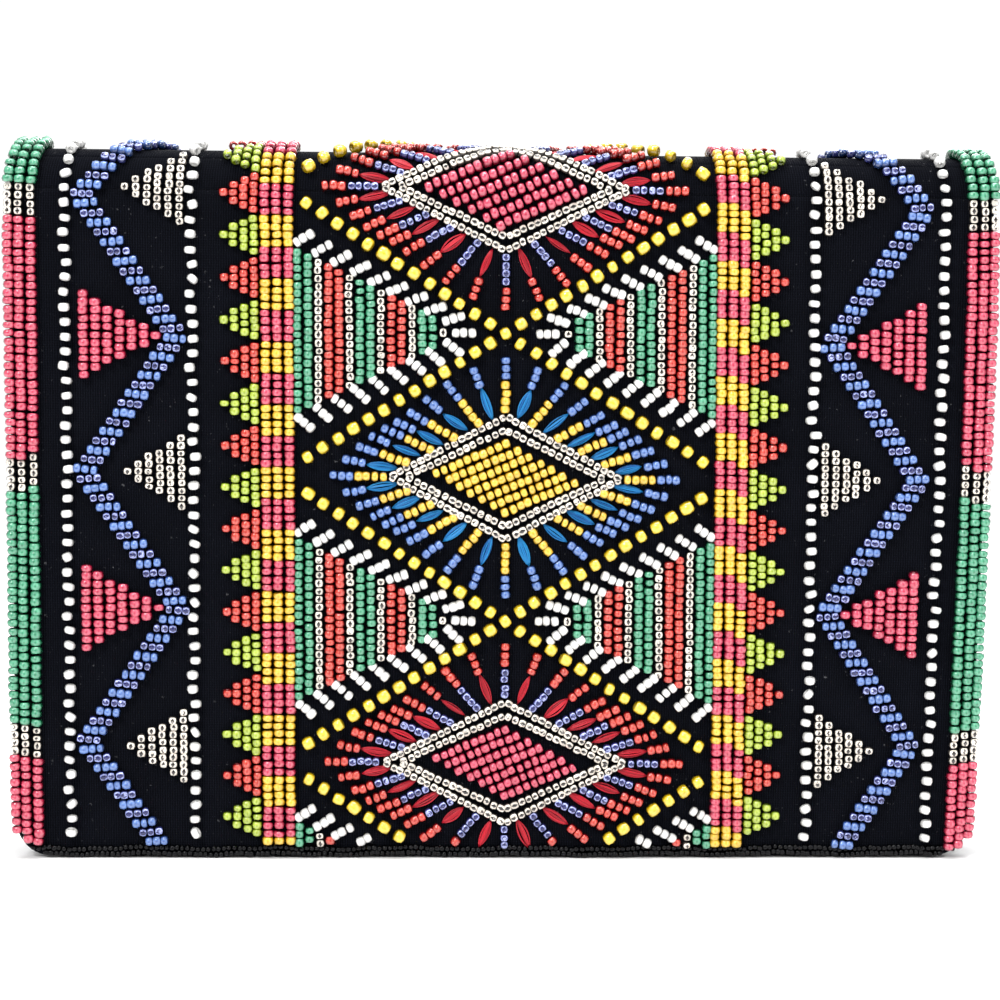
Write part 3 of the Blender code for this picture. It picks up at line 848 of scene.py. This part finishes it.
def sewWedges():
    for side, word in sides:
        for level, number, shift in wedges["pinkPlaces"]:
            sewBeads(f"wedge_{level}_{word}_beads", wedgeBeads(side, "pink", number, shift),
                     (f"wedge_{level}_{word}",), 91 + side + number)
        for level, number, shift in wedges["silverPlaces"]:
            sewBeads(f"silver_wedge_{level}_{word}", wedgeBeads(side, "silver", number, shift),
                     (), 101 + side + number)


lattice = {
    "reach": 0.0521, "slope": math.radians(32.5), "count": 13,
    # each crossing: its height in steps from the middle diamond, and what it stands for
    "crossings": (("upper", 0.5, ("lattice_upper",)), ("lower", -0.5, ("lattice_lower",)),
                  ("hem", -1.5, ()), ("crest", 1.5, ())),
}


def sewLattice():
    for word, number, replaced in lattice["crossings"]:
        middle = ornament["middle"] + number * ornament["step"]
        beads = [(0, middle, lattice["slope"], "big", "lemon")]
        for left in (-1, 1):
            for down in (-1, 1):
                for index in range(1, lattice["count"] + 1):
                    x = lattice["reach"] * index / (lattice["count"] + 0.4)
                    angle = math.atan2(down * math.tan(lattice["slope"]), left)
                    beads.append((left * x, middle + down * x * math.tan(lattice["slope"]), angle,
                                  "big", "lemon"))
        beads = [item for item in beads if hemTop + 0.001 < item[1] < backEnd]
        sewBeads("lattice_" + word + "_beads", beads, replaced, 111 + int(number * 2))


hem = {
    # the height of each row, and how far it stops short of the sides
    "rows": ((0.0010, 0.0068), (0.0023, 0.0035)), "pitch": 0.00135,
    "slowSag": 0.00022, "quickSag": 0.00014, "tilt": 0.25,
}


def sewHem():
    beads = []
    for row, (v, short) in enumerate(hem["rows"]):
        half = canvasHalf - short
        count = round(2 * half / hem["pitch"])
        for number in range(count):
            u = -half + (number + 0.5) * 2 * half / count
            sag = hem["slowSag"] * math.sin(u * 190) + hem["quickSag"] * math.sin(u * 530 + row)
            beads.append((u, v + sag, hem["tilt"] * math.sin(u * 700 + 2 * row), "hem", "black"))
    sewBeads("hem_edge_beads", beads, ("hem_beads",), 121, False)


sewBorders()
sewDottedLines()
sewZigzags()
sewBands()
for word, number, fill, barColour, barKind, outer in (
    ("lower", -1, "pink", "navy", "lined", "red"),
    ("middle", 0, "gold", "gold", "bar", "blue"),
    ("upper", 1, "pink", "navy", "lined", "red"),
):
    sewOrnament(word, ornament["middle"] + number * ornament["step"], fill, barColour, barKind, outer,
                ("diamond_" + word,))
sewStripes()
sewWedges()
sewLattice()
sewHem()
print("beads sewn")


threadColours = {
    # shades of the darkest and the brightest strand
    "azure": ((0.0, 0.10, 0.36), (0.01, 0.27, 0.62)),
    "scarlet": ((0.30, 0.002, 0.012), (0.64, 0.010, 0.030)),
}


def threadMaterial(name, deep, bright):
    material, tree, shader = startMaterial(name, 0.42)
    shade = mixColour(tree, attribute(tree, "tone"), (*deep, 1), (*bright, 1))
    feed(tree, shader, {"Base Color": shade, "Sheen Weight": 0.1, "Sheen Roughness": 0.35})
    addBump(tree, shader, addNoise(tree, place(tree, "Object"), 2500), 0.35, 0.0001)
    return material


threadMaterials = {name: threadMaterial(name + "Thread", *pair) for name, pair in threadColours.items()}
stitch = {
    "length": 0.0080, "width": 0.0019, "threads": 6, "thick": 0.00042, "steps": 8,
    "foot": 0.00018, "crown": 0.0006, "rise": (-0.00012, 0.00016), "sway": 0.00010,
    "near": 0.0050,  # how far out from the diamond's outline its middle is
}


def addThread(shape, move, side, dice, layer):
    # one strand of a satin stitch, from point to point over the fat middle
    rings = []
    rise = dice.uniform(*stitch["rise"])
    sway = dice.gauss(0, stitch["sway"])
    for number in range(stitch["steps"] + 1):
        share = number / stitch["steps"]
        bulge = math.sin(math.pi * share) ** 0.8
        y = (share - 0.5) * stitch["length"]
        x = side * stitch["width"] / 2 * bulge
        z = stitch["foot"] + (stitch["crown"] * (1 - 0.6 * abs(side)) + rise) * bulge
        x += sway * math.sin(math.pi * share)
        radius = stitch["thick"] / 2 * (0.55 + 0.45 * bulge)
        ring = bmesh.ops.create_circle(shape, segments=6, radius=radius)["verts"]
        bmesh.ops.rotate(shape, verts=ring, matrix=Matrix.Rotation(math.pi / 2, 3, "X"))
        bmesh.ops.translate(shape, verts=ring, vec=(x, y, z))
        rings.append(ring)
    tone = dice.random()
    for first, second in zip(rings, rings[1:]):
        edges = [e for ring in (first, second) for v in ring for e in v.link_edges
                 if e.other_vert(v) in ring]
        bmesh.ops.bridge_loops(shape, edges=list(set(edges)))
    bmesh.ops.contextual_create(shape, geom=rings[0])
    bmesh.ops.contextual_create(shape, geom=rings[-1])
    verts = [v for ring in rings for v in ring]
    for v in verts:
        v[layer] = tone
    bmesh.ops.transform(shape, matrix=move, verts=verts)


def sewStitches(word, middle, colour):
    dice = random.Random(131 + len(word))
    stretches = {}
    for u, v, angle, number in ornamentRays(middle, ornament["sizes"][word]):
        if number % 2 == 0:
            continue
        x = u + stitch["near"] * math.cos(angle)
        y = v + stitch["near"] * math.sin(angle)
        if hemTop < y < backEnd:
            x, y = patternAt(x, y)
            stretches.setdefault(zoneOf(y), []).append((x, y, angle + dice.gauss(0, 0.05)))
    for zone, items in sorted(stretches.items()):
        shape = bmesh.new()
        layer = shape.verts.layers.float.new("tone")
        for x, y, angle in items:
            move = onPurse(x, y, 0.0) @ Matrix.Rotation(angle - quarterTurn, 4, "Z")
            move = move @ Matrix.Diagonal((1 + dice.gauss(0, 0.1), 1 + dice.gauss(0, 0.05), 1, 1))
            for number in range(stitch["threads"]):
                side = -1 + 2 * number / (stitch["threads"] - 1)
                addThread(shape, move, side, dice, layer)
        bmesh.ops.recalc_face_normals(shape, faces=shape.faces)
        piece = newPiece("stitches_" + word + zones[zone][2], shape, threadMaterials[colour])
        setOnBody(piece, zone)


for word, number, colour in (("lower", -1, "scarlet"), ("middle", 0, "azure"), ("upper", 1, "scarlet")):
    sewStitches(word, ornament["middle"] + number * ornament["step"], colour)
print("stitches sewn")


clothLooks = {
    # dark and light of the weave, thread's width, rib, roughness, sheen, bump, lint, specular
    "blackCanvas": ((0.0005, 0.0007, 0.0016), (0.0044, 0.0052, 0.0092),
                    0.00064, 0.72, 0.9, 0.0, 0.00020, 0.50, 0.06),
    "blackSatin": ((0.003, 0.003, 0.005), (0.010, 0.010, 0.015),
                   0.00022, 0.9, 0.36, 0.04, 0.00002, 0.0, 0.35),
    "zipTape": ((0.003, 0.003, 0.004), (0.012, 0.012, 0.014),
                0.00045, 0.5, 0.8, 0.10, 0.00008, 0.0, 0.2),
}


def clothMaterial(name):
    dark, light, thread, rib, roughness, sheen, bump, amount, specular = clothLooks[name]
    material, tree, shader = startMaterial(name, roughness)
    onCloth = place(tree, "UV")
    woven = feed(tree, addNode(tree, "ShaderNodeGroup", node_tree=weaveGroup),
                 {"Vector": onCloth, "Thread": thread, "Rib": rib})
    colour = mixColour(tree, woven.outputs["Shade"], (*dark, 1), (*light, 1))
    if amount:
        specks = feed(tree, addNode(tree, "ShaderNodeGroup", node_tree=lintGroup),
                      {"Vector": onCloth, "Amount": amount})
        colour = mixColour(tree, specks.outputs["Mask"], colour, (0.16, 0.16, 0.17, 1))
    feed(tree, shader, {"Base Color": colour, "Sheen Weight": sheen, "Sheen Roughness": 0.5,
                        "Specular IOR Level": specular})
    addBump(tree, shader, woven.outputs["Height"], 0.8, bump)
    return material


canvas, satin, tape = [clothMaterial(name) for name in clothLooks]
blackThread = threadMaterial("blackThread", (0.006, 0.006, 0.008), (0.016, 0.016, 0.020))


plainLooks = {
    # shade, roughness, metallic, strength and size of the grain, and the model's nodes that wear it
    "nickel": ((0.62, 0.60, 0.56), 0.24, 1.0, 0.06, 400,
               ("zip_slider", "zip_pull", "zip_stop_left", "zip_stop_right", "snap_stud", "snap_socket")),
    "magnet": ((0.10, 0.10, 0.11), 0.5, 0.6, 0.4, 1500, ("snap_magnet",)),
    "greyCard": ((0.24, 0.22, 0.19), 0.9, 0.0, 0.4, 1200,
                 ("back_board", "front_board", "base_board", "flap_board")),
    "blackNylon": ((0.012, 0.012, 0.014), 0.35, 0.0, 0.3, 800, ()),
}


def plainMaterial(name):
    # card, plastic or metal with a faint uneven grain
    colour, roughness, metallic, grain, size = plainLooks[name][:-1]
    material, tree, shader = startMaterial(name, roughness, metallic)
    noise = addNoise(tree, place(tree, "Object"), size, 4)
    dark = tuple(value * (1 - grain) for value in colour)
    rough = spread(tree, noise, 0.3, 0.7, roughness * 0.8, min(1.0, roughness * 1.25))
    feed(tree, shader, {"Base Color": mixColour(tree, noise, (*dark, 1), (*colour, 1)),
                        "Roughness": rough})
    addBump(tree, shader, noise, 0.06 if metallic else 0.2, 0.00005)
    return material


plainMaterials = {name: plainMaterial(name) for name in plainLooks}
for name, material in plainMaterials.items():
    for node in plainLooks[name][-1]:
        piece = bpy.data.objects[node]
        piece.data.materials.clear()
        piece.data.materials.append(material)


def span(low, high, count):
    return [low + (high - low) * number / (count - 1) for number in range(count)]


corner = 0.0080  # radius of the panels' bottom corners


def panelHalf(half, height, low=0.0):
    # a panel's half width near its rounded bottom corners
    gone = corner - max(height - low, 0.0)
    return half if gone <= 0 else half - corner + math.sqrt(max(corner**2 - gone**2, 0.0))


def gridOfCloth(shape, layer, grid):
    rows, columns = len(grid), len(grid[0])
    made = bmesh.ops.create_grid(shape, x_segments=columns - 1, y_segments=rows - 1, size=1)["verts"]
    ordered = sorted(made, key=lambda v: (round(v.co.y, 5), round(v.co.x, 5)))
    flat = {}
    for number, vert in enumerate(ordered):
        vert.co, flat[vert] = grid[number // columns][number % columns]
    for face in {face for vert in made for face in vert.link_faces}:
        for loop in face.loops:
            loop[layer].uv = flat[loop.vert]


def makeCloth(name, grids, thickness, material, flip=False, hole=None):
    # each grid[row][column] is (place, (u, v)); rows go up, columns to the right, seen from outside
    shape = bmesh.new()
    layer = shape.loops.layers.uv.new("UVMap")
    for grid in grids:
        gridOfCloth(shape, layer, grid)
    if hole:
        low, high = hole
        gone = []
        for face in shape.faces:
            middle = face.calc_center_median()
            if low[0] < middle.x < high[0] and low[1] < middle.z < high[1]:
                gone.append(face)
        bmesh.ops.delete(shape, geom=gone, context="FACES")
    bmesh.ops.remove_doubles(shape, verts=shape.verts, dist=2e-6)
    if flip:
        bmesh.ops.reverse_faces(shape, faces=shape.faces)
    sheet = newPiece(name, shape, material)
    wall = sheet.modifiers.new("cloth", "SOLIDIFY")
    wall.thickness = thickness
    wall.offset = -1
    wall.use_even_offset = True
    return sheet


def rolledEdge(turn):
    # how far out and how deep each step of an edge rolled over by turn is
    if not turn:
        return []
    return [(turn / 2 * math.sin(math.pi * k / 6), turn / 2 * (1 - math.cos(math.pi * k / 6)))
            for k in range(1, 7)]


def turnedPanel(name, at, low, high, half, thickness, material, turn, columns, rows, rounded=True,
                flip=False, hole=None):
    # a flat panel whose edges may be rolled over by turn, the depth of the roll
    rolls = rolledEdge(turn)
    heights = sorted({low + corner * (1 - math.cos(math.radians(9 * k))) for k in range(11)}
                     | set(span(low + corner, high, rows))) if rounded else span(low, high, rows)
    shares = span(-1, 1, columns)
    if hole:
        for value in (hole[0][0] / half, hole[1][0] / half):
            shares[min(range(columns), key=lambda k: abs(shares[k] - value))] = value
        for value in (hole[0][1], hole[1][1]):
            heights[min(range(len(heights)), key=lambda k: abs(heights[k] - value))] = value
    grid = []
    for v in heights:
        wide = panelHalf(half, v, low) if rounded else half
        gone = max(0.0, corner - (v - low)) / corner if rounded else 0.0
        nx, nz = math.sqrt(max(0.0, 1 - gone**2)), -gone
        line = [(at(share * wide, v, 0.0), (share * wide, v)) for share in shares]
        for out, deep in rolls:
            line.append((at(wide + nx * out, v + nz * out, -deep), (wide + out + deep, v)))
            line.insert(0, (at(-wide - nx * out, v + nz * out, -deep), (-wide - out - deep, v)))
        grid.append(line)
    grids = [grid]
    if turn:
        wide = panelHalf(half, low, low) if rounded else half
        grids.append([])
        for out, deep in [*reversed(rolls), (0.0, 0.0)]:
            grids[1].append([(at(share * wide, low - out, -deep), (share * wide, low - out - deep))
                             for share in shares])
    return makeCloth(name, grids, thickness, material, flip, hole)


def onFront(u, v, lift):
    return onPurse(u, v, lift).translation


backShape = {"padding": 0.0005, "ripple": 0.00012}


def onBack(u, v, lift):
    # v is the height on the back panel
    rise = math.sin(math.pi * v / foldZ)
    padded = backShape["padding"] * math.cos(min(1.0, abs(u) / canvasHalf) * math.pi / 2) * rise
    ripple = backShape["ripple"] * math.sin(u * 47 + v * 29) * rise
    return onPurse(u, 2 * foldZ + foldLength - v, lift + padded + ripple).translation


def flatAt(y, side, ripple=0.0):
    # a flat panel at y that faces the front (side -1) or the back (side 1)
    def at(u, v, lift):
        swell = ripple * math.sin(u * 61 + 0.7) * math.sin(v * 43 + 0.2)
        return Vector((u, y + side * (lift + swell), v))
    return at


def seat(piece, body, replaced=()):
    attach(piece, body)
    if replaced:
        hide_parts(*replaced)
    return piece


def lengthOf(points):
    return sum(math.dist(first, second) for first, second in zip(points, points[1:]))


def foldCloth(name, radiusAt, half, thickness, material, turn, flip, replaced):
    # four strips, one for each joint of the soft fold; replaced names the model's nodes of each
    for zone in range(1, 5):
        grid = []
        for degrees in span(45 * (zone - 1), 45 * zone, 11):
            v = heightAt(degrees)
            lift = radiusAt(degrees) - foldRadius
            line = [(onFront(share * half, v, lift), (share * half, v)) for share in span(-1, 1, 101)]
            for out, deep in rolledEdge(turn):
                line.append((onFront(half + out, v, lift - deep), (half + out + deep, v)))
                line.insert(0, (onFront(-half - out, v, lift - deep), (-half - out - deep, v)))
            grid.append(line)
        piece = makeCloth(name + zones[zone][2], [grid], thickness, material, flip)
        setOnBody(piece, zone)
        middle = [row[len(row) // 2][0] for row in grid]
        lengthOf(middle)
        if replaced[zone - 1]:
            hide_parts(*replaced[zone - 1])


def smoothStep(value):
    value = min(1.0, max(0.0, value))
    return value * value * (3 - 2 * value)


cloth = {
    # thicknesses
    "canvas": 0.0007, "satin": 0.0004, "binding": 0.0006, "gusset": 0.0005, "tape": 0.0003,
    # depths of the rolled edges
    "backRoll": 0.0036, "flapRoll": 0.0020, "frontRoll": 0.0019, "foldRoll": 0.0016,
    # how far each cloth ends inside the purse's or the front panel's sides
    "inset": 0.0006, "flapLining": 0.0026, "backLining": 0.0016, "foldLining": 0.0030,
    "frontLining": 0.0012,
    # heights of the lower edges
    "flapLow": 0.0010, "backLow": 0.0021, "flapLiningLow": 0.0022, "liningLow": 0.0034,
    # how uneven the flat cloths are, the sag of the base and the gape of the slip pocket
    "ripple": 0.00015, "frontRipple": 0.00012, "sag": 0.0003, "pocketOpen": 0.0007,
    # what the cut has for turning over the edges, across and along
    "flapTurn": (0.006, 0.003), "backTurn": (0.010, 0.004), "frontTurn": (0.004, 0.003),
    # the zip's opening: how far it ends before the tape's ends, its room below and above the coils
    "openingEnds": 0.0030, "openingBelow": 0.0044, "openingAbove": 0.0048,
}
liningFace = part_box("back_lining")[0].y
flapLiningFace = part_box("flap_lining")[1].y
frontLow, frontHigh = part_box("front_cover")


def liningRadius(degrees):
    # the lining leaves the flap's and the back's linings and runs just inside the canvas
    plain = foldRadius - cloth["canvas"] - 0.0003
    toFlap = foldY - flapLiningFace + cloth["satin"] - plain
    toBack = liningFace + cloth["satin"] - foldY - plain
    return plain + toFlap * smoothStep(1 - degrees / 40) + toBack * smoothStep((degrees - 135) / 45)


def makeCanvas():
    half = canvasHalf - cloth["inset"]
    front = turnedPanel("flap_canvas", onFront, cloth["flapLow"], foldZ, half, cloth["canvas"], canvas,
                        cloth["flapRoll"], 161, 140)
    seat(front, "flap", ("flap_cover", "shoulder_beads"))
    covered = [(f"fold_cover_{word}", f"fold_beads_{word}") for word in ("front", "top", "rear")] + [()]
    foldCloth("fold_canvas", lambda degrees: foldRadius, half, cloth["canvas"], canvas,
              cloth["foldRoll"], False, covered)
    back = turnedPanel("back_canvas", onBack, cloth["backLow"], foldZ, half, cloth["canvas"], canvas,
                       cloth["backRoll"], 161, 120, flip=True)
    seat(back, "body", ("back_cover",))
    panel = turnedPanel("front_canvas", flatAt(frontLow.y, -1, cloth["ripple"]), frontLow.z, frontHigh.z,
                        frontHigh.x - cloth["inset"], cloth["canvas"], canvas, cloth["frontRoll"], 121, 90)
    seat(panel, "body", ("front_cover",))
    low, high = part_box("base_cover")
    base = []
    for y in span(high.y - 0.0004, low.y + 0.0004, 13):
        sag = cloth["sag"] * math.sin(math.pi * (y - low.y) / (high.y - low.y))
        base.append([(Vector((u, y, low.z + sag)), (u, y)) for u in span(low.x, high.x, 101)])
    strip = makeCloth("base_canvas", [base], cloth["canvas"], canvas)
    seat(strip, "body", ("base_cover",))


def makeLinings():
    half = canvasHalf - cloth["backLining"]
    flap = turnedPanel("flap_satin", flatAt(flapLiningFace, 1, cloth["ripple"]),
                       cloth["flapLiningLow"], foldZ,
                       canvasHalf - cloth["flapLining"], cloth["satin"], satin, 0, 121, 90, flip=True)
    seat(flap, "flap", ("flap_lining",))
    lined = [(f"fold_lining_{word}",) for word in ("front", "top", "rear")] + [()]
    foldCloth("fold_satin", liningRadius, canvasHalf - cloth["foldLining"], cloth["satin"], satin, 0,
              True, lined)
    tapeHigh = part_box("zip_tape_lower")[1]
    reach = tapeHigh.x - cloth["openingEnds"]
    hole = ((-reach, tapeHigh.z - cloth["openingBelow"]), (reach, tapeHigh.z + cloth["openingAbove"]))
    back = turnedPanel("back_satin", flatAt(liningFace, -1, cloth["ripple"]), cloth["liningLow"], foldZ,
                       half, cloth["satin"], satin, 0, 181, 171, hole=hole)
    seat(back, "body", ("back_lining",))
    half = frontHigh.x - cloth["frontLining"]
    front = turnedPanel("front_satin", flatAt(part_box("front_lining")[1].y, 1, cloth["frontRipple"]),
                        cloth["liningLow"], frontHigh.z, half, cloth["satin"], satin, 0, 121, 80, flip=True)
    seat(front, "body", ("front_lining",))
    low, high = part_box("slip_pocket")

    def pocketAt(u, v, lift):
        # the pocket's mouth gapes a little in the middle
        loose = smoothStep((v - low.z - 0.02) / (high.z - low.z - 0.02))
        gape = cloth["pocketOpen"] * loose * math.cos(u / high.x * math.pi / 2)
        return Vector((u, high.y + gape + lift, v))

    pocket = turnedPanel("slip_pocket_satin", pocketAt, low.z, high.z, high.x, cloth["satin"], satin, 0,
                         81, 50, flip=True)
    seat(pocket, "body", ("slip_pocket",))
    low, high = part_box("base_lining")
    floor = [[(Vector((u, y, high.z)), (u, y)) for u in span(low.x, high.x, 101)]
             for y in span(low.y, high.y, 9)]
    strip = makeCloth("base_satin", [floor], cloth["satin"], satin)
    seat(strip, "body", ("base_lining",))
    for side, word in sides:
        low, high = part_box("side_gusset_" + word)
        inner, outer = (high.x, low.x) if side < 0 else (low.x, high.x)
        grid = []
        for v in span(low.z, high.z, 61):
            line = []
            for share in span(0, 1, 17):
                depth = math.sin(math.pi * share) ** 0.8 * (0.75 + 0.25 * math.sin(v * 60 + side))
                x = outer + (inner - outer) * depth
                y = low.y + (high.y - low.y) * share
                line.append((Vector((x, y, v)), (y, v)))
            grid.append(line if side > 0 else line[::-1])
        gusset = makeCloth("side_gusset_satin_" + word, [grid], cloth["gusset"], satin)
        seat(gusset, "body", ("side_gusset_" + word,))
        lengthOf([spot for spot, flat in grid[30]])
    low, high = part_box("zip_pocket_bag")
    bag = turnedPanel("zip_pocket_satin", flatAt(low.y, -1), low.z, high.z, high.x, cloth["tape"], satin,
                      0, 61, 40, rounded=False)
    seat(bag, "body", ("zip_pocket_bag",))


def makeBinding():
    # a canvas strip folded over the front panel's top edge
    low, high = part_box("mouth_binding")
    middle, radius = (low.y + high.y) / 2, (high.y - low.y) / 2
    profile = [(low.y, low.z), (low.y, high.z - radius)]
    profile += [(middle - radius * math.cos(t), high.z - radius + radius * math.sin(t))
                for t in span(0, math.pi, 9)[1:-1]]
    profile += [(high.y, high.z - radius), (high.y, low.z)]
    grid = []
    length = 0.0
    for number, (y, z) in enumerate(profile):
        if number:
            length += math.dist(profile[number - 1], (y, z))
        grid.append([(Vector((u, y, z)), (u, length)) for u in span(low.x, high.x, 121)])
    strip = makeCloth("mouth_canvas", [grid], cloth["binding"], canvas)
    seat(strip, "body", ("mouth_binding",))


seam = {
    "pitch": 0.0031, "long": 0.0024, "thick": 0.00045,
    # how far the seams on the back, the flap's lining and the slip pocket run inside the edges
    "back": 0.0036, "flap": 0.0034, "pocket": 0.0012,
    "mouth": 0.0011,  # height above the binding's lower edge
    # the stitches round the zip, above and below its middle and past its ends
    "zipAway": 0.0060, "zipPast": 0.0016,
}


def addStitches(name, places, body):
    # places: (place, direction, outward) of every stitch
    template = bmesh.new()
    bmesh.ops.create_uvsphere(template, u_segments=6, v_segments=5, radius=0.5)
    mesh = bpy.data.meshes.new("seamStitch")
    template.to_mesh(mesh)
    template.free()
    mesh.attributes.new("tone", "FLOAT", "POINT")
    shape = bmesh.new()
    dice = random.Random(len(name))
    thick, long = seam["thick"], seam["long"]
    for spot, along, outward in places:
        along = along.normalized()
        across = along.cross(outward).normalized()
        turn = Matrix((across, outward, along)).transposed().to_4x4()
        move = Matrix.Translation(spot) @ turn @ Matrix.Diagonal((thick, thick * 0.8, long, 1))
        mesh.attributes["tone"].data.foreach_set("value", [dice.random()] * len(mesh.vertices))
        mesh.transform(move)
        shape.from_mesh(mesh)
        mesh.transform(move.inverted())
    seat(newPiece(name, shape, blackThread), body)


def seamPath(half, low, high, inset):
    # (u, v, direction) of the stitches down a panel's sides and along its rounded bottom
    pitch = seam["pitch"]
    path = []
    radius = corner - inset
    x, bottom = half - inset, low + inset
    for v in span(high, bottom + radius, round((high - bottom - radius) / pitch)):
        path.append((-x, v, 0, -1))
    for t in span(math.pi, 1.5 * math.pi, 5)[1:-1]:
        path.append((-x + radius + radius * math.cos(t), bottom + radius + radius * math.sin(t),
                     -math.sin(t), math.cos(t)))
    for u in span(-x + radius, x - radius, round(2 * (x - radius) / pitch)):
        path.append((u, bottom, 1, 0))
    for t in span(1.5 * math.pi, 2 * math.pi, 5)[1:-1]:
        path.append((x - radius + radius * math.cos(t), bottom + radius + radius * math.sin(t),
                     -math.sin(t), math.cos(t)))
    for v in span(bottom + radius, high, round((high - bottom - radius) / pitch)):
        path.append((x, v, 0, 1))
    return path


def sewSeam(name, at, path, body):
    # at gives a stitch's place from its u and v
    addStitches(name, [(at(u, v), Vector((dx, 0, dz)), Vector((0, 1, 0))) for u, v, dx, dz in path],
                body)


def makeSeams():
    sewSeam("back_topstitch", lambda u, v: onBack(u, v, 0.00005),
            seamPath(canvasHalf - cloth["inset"], backLow.z, foldZ - 0.004, seam["back"]), "body")
    sewSeam("flap_topstitch", lambda u, v: Vector((u, flapLiningFace + 0.00010, v)),
            seamPath(canvasHalf - 0.0020, 0.0016, foldZ - 0.004, seam["flap"]), "flap")
    low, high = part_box("mouth_binding")
    row = [(Vector((u, y, low.z + seam["mouth"])), Vector((1, 0, 0)), Vector((0, 1 if y > 0 else -1, 0)))
           for y in (low.y, high.y) for u in span(low.x + 0.003, high.x - 0.003, 76)]
    addStitches("mouth_topstitch", row, "body")
    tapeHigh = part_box("zip_tape_lower")[1]
    reach, middle = tapeHigh.x - cloth["openingEnds"], tapeHigh.z + 0.0002
    frameRow = []
    for v in (middle - seam["zipAway"], middle + seam["zipAway"]):
        for u in span(-reach - 0.0010, reach + 0.0010, 44):
            frameRow.append((Vector((u, liningFace - 0.00015, v)), Vector((1, 0, 0)), Vector((0, -1, 0))))
    for u in (-reach - seam["zipPast"], reach + seam["zipPast"]):
        for v in span(middle - 0.0048, middle + 0.0048, 4):
            frameRow.append((Vector((u, liningFace - 0.00015, v)), Vector((0, 0, 1)), Vector((0, -1, 0))))
    addStitches("zip_frame_stitches", frameRow, "body")
    low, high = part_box("slip_pocket")
    sewSeam("pocket_stitches", lambda u, v: Vector((u, high.y + 0.0001, v)),
            seamPath(high.x, low.z, high.z - 0.001, seam["pocket"]), "body")


coil = {"pitch": 0.0013, "steps": 10, "wire": 0.00022, "inset": 0.00025, "ends": 0.0003, "tall": 1.12}


def makeZip():
    for word in ("upper", "lower"):
        low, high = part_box("zip_tape_" + word)
        strip = turnedPanel("zip_cloth_" + word, flatAt(low.y, -1), low.z, high.z, high.x,
                            cloth["tape"], tape, 0, 101, 9, rounded=False)
        seat(strip, "body", ("zip_tape_" + word,))
        low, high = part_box("zip_coil_" + word)
        middle = (low + high) / 2
        turns = round((high.x - low.x) / coil["pitch"])
        steps = coil["steps"]
        shape = bmesh.new()
        ring = bmesh.ops.create_circle(shape, segments=6, radius=coil["wire"])["verts"]
        bmesh.ops.translate(shape, verts=ring, vec=(0, (high.y - low.y) / 2 - coil["inset"], 0))
        edges = list({edge for vert in ring for edge in vert.link_edges})
        for vert in ring:
            x, y, z = vert.co
            vert.co = (0.4 * x, y, z + x)
        bmesh.ops.spin(shape, geom=ring + edges, cent=(0, 0, 0), axis=(1, 0, 0),
                       dvec=((high.x - low.x - 2 * coil["ends"]) / turns / steps, 0, 0),
                       angle=2 * math.pi * turns, steps=turns * steps)
        bmesh.ops.scale(shape, vec=(1, 1, coil["tall"]), verts=shape.verts)
        bmesh.ops.translate(shape, verts=shape.verts, vec=(low.x + coil["ends"], middle.y, middle.z))
        bmesh.ops.holes_fill(shape, edges=shape.edges, sides=8)
        bmesh.ops.recalc_face_normals(shape, faces=shape.faces)
        teeth = newPiece("zip_teeth_" + word, shape, plainMaterials["blackNylon"])
        seat(teeth, "body", ("zip_coil_" + word,))


makeCanvas()
makeLinings()
makeBinding()
makeSeams()
makeZip()
print("canvas, linings and zip ready")
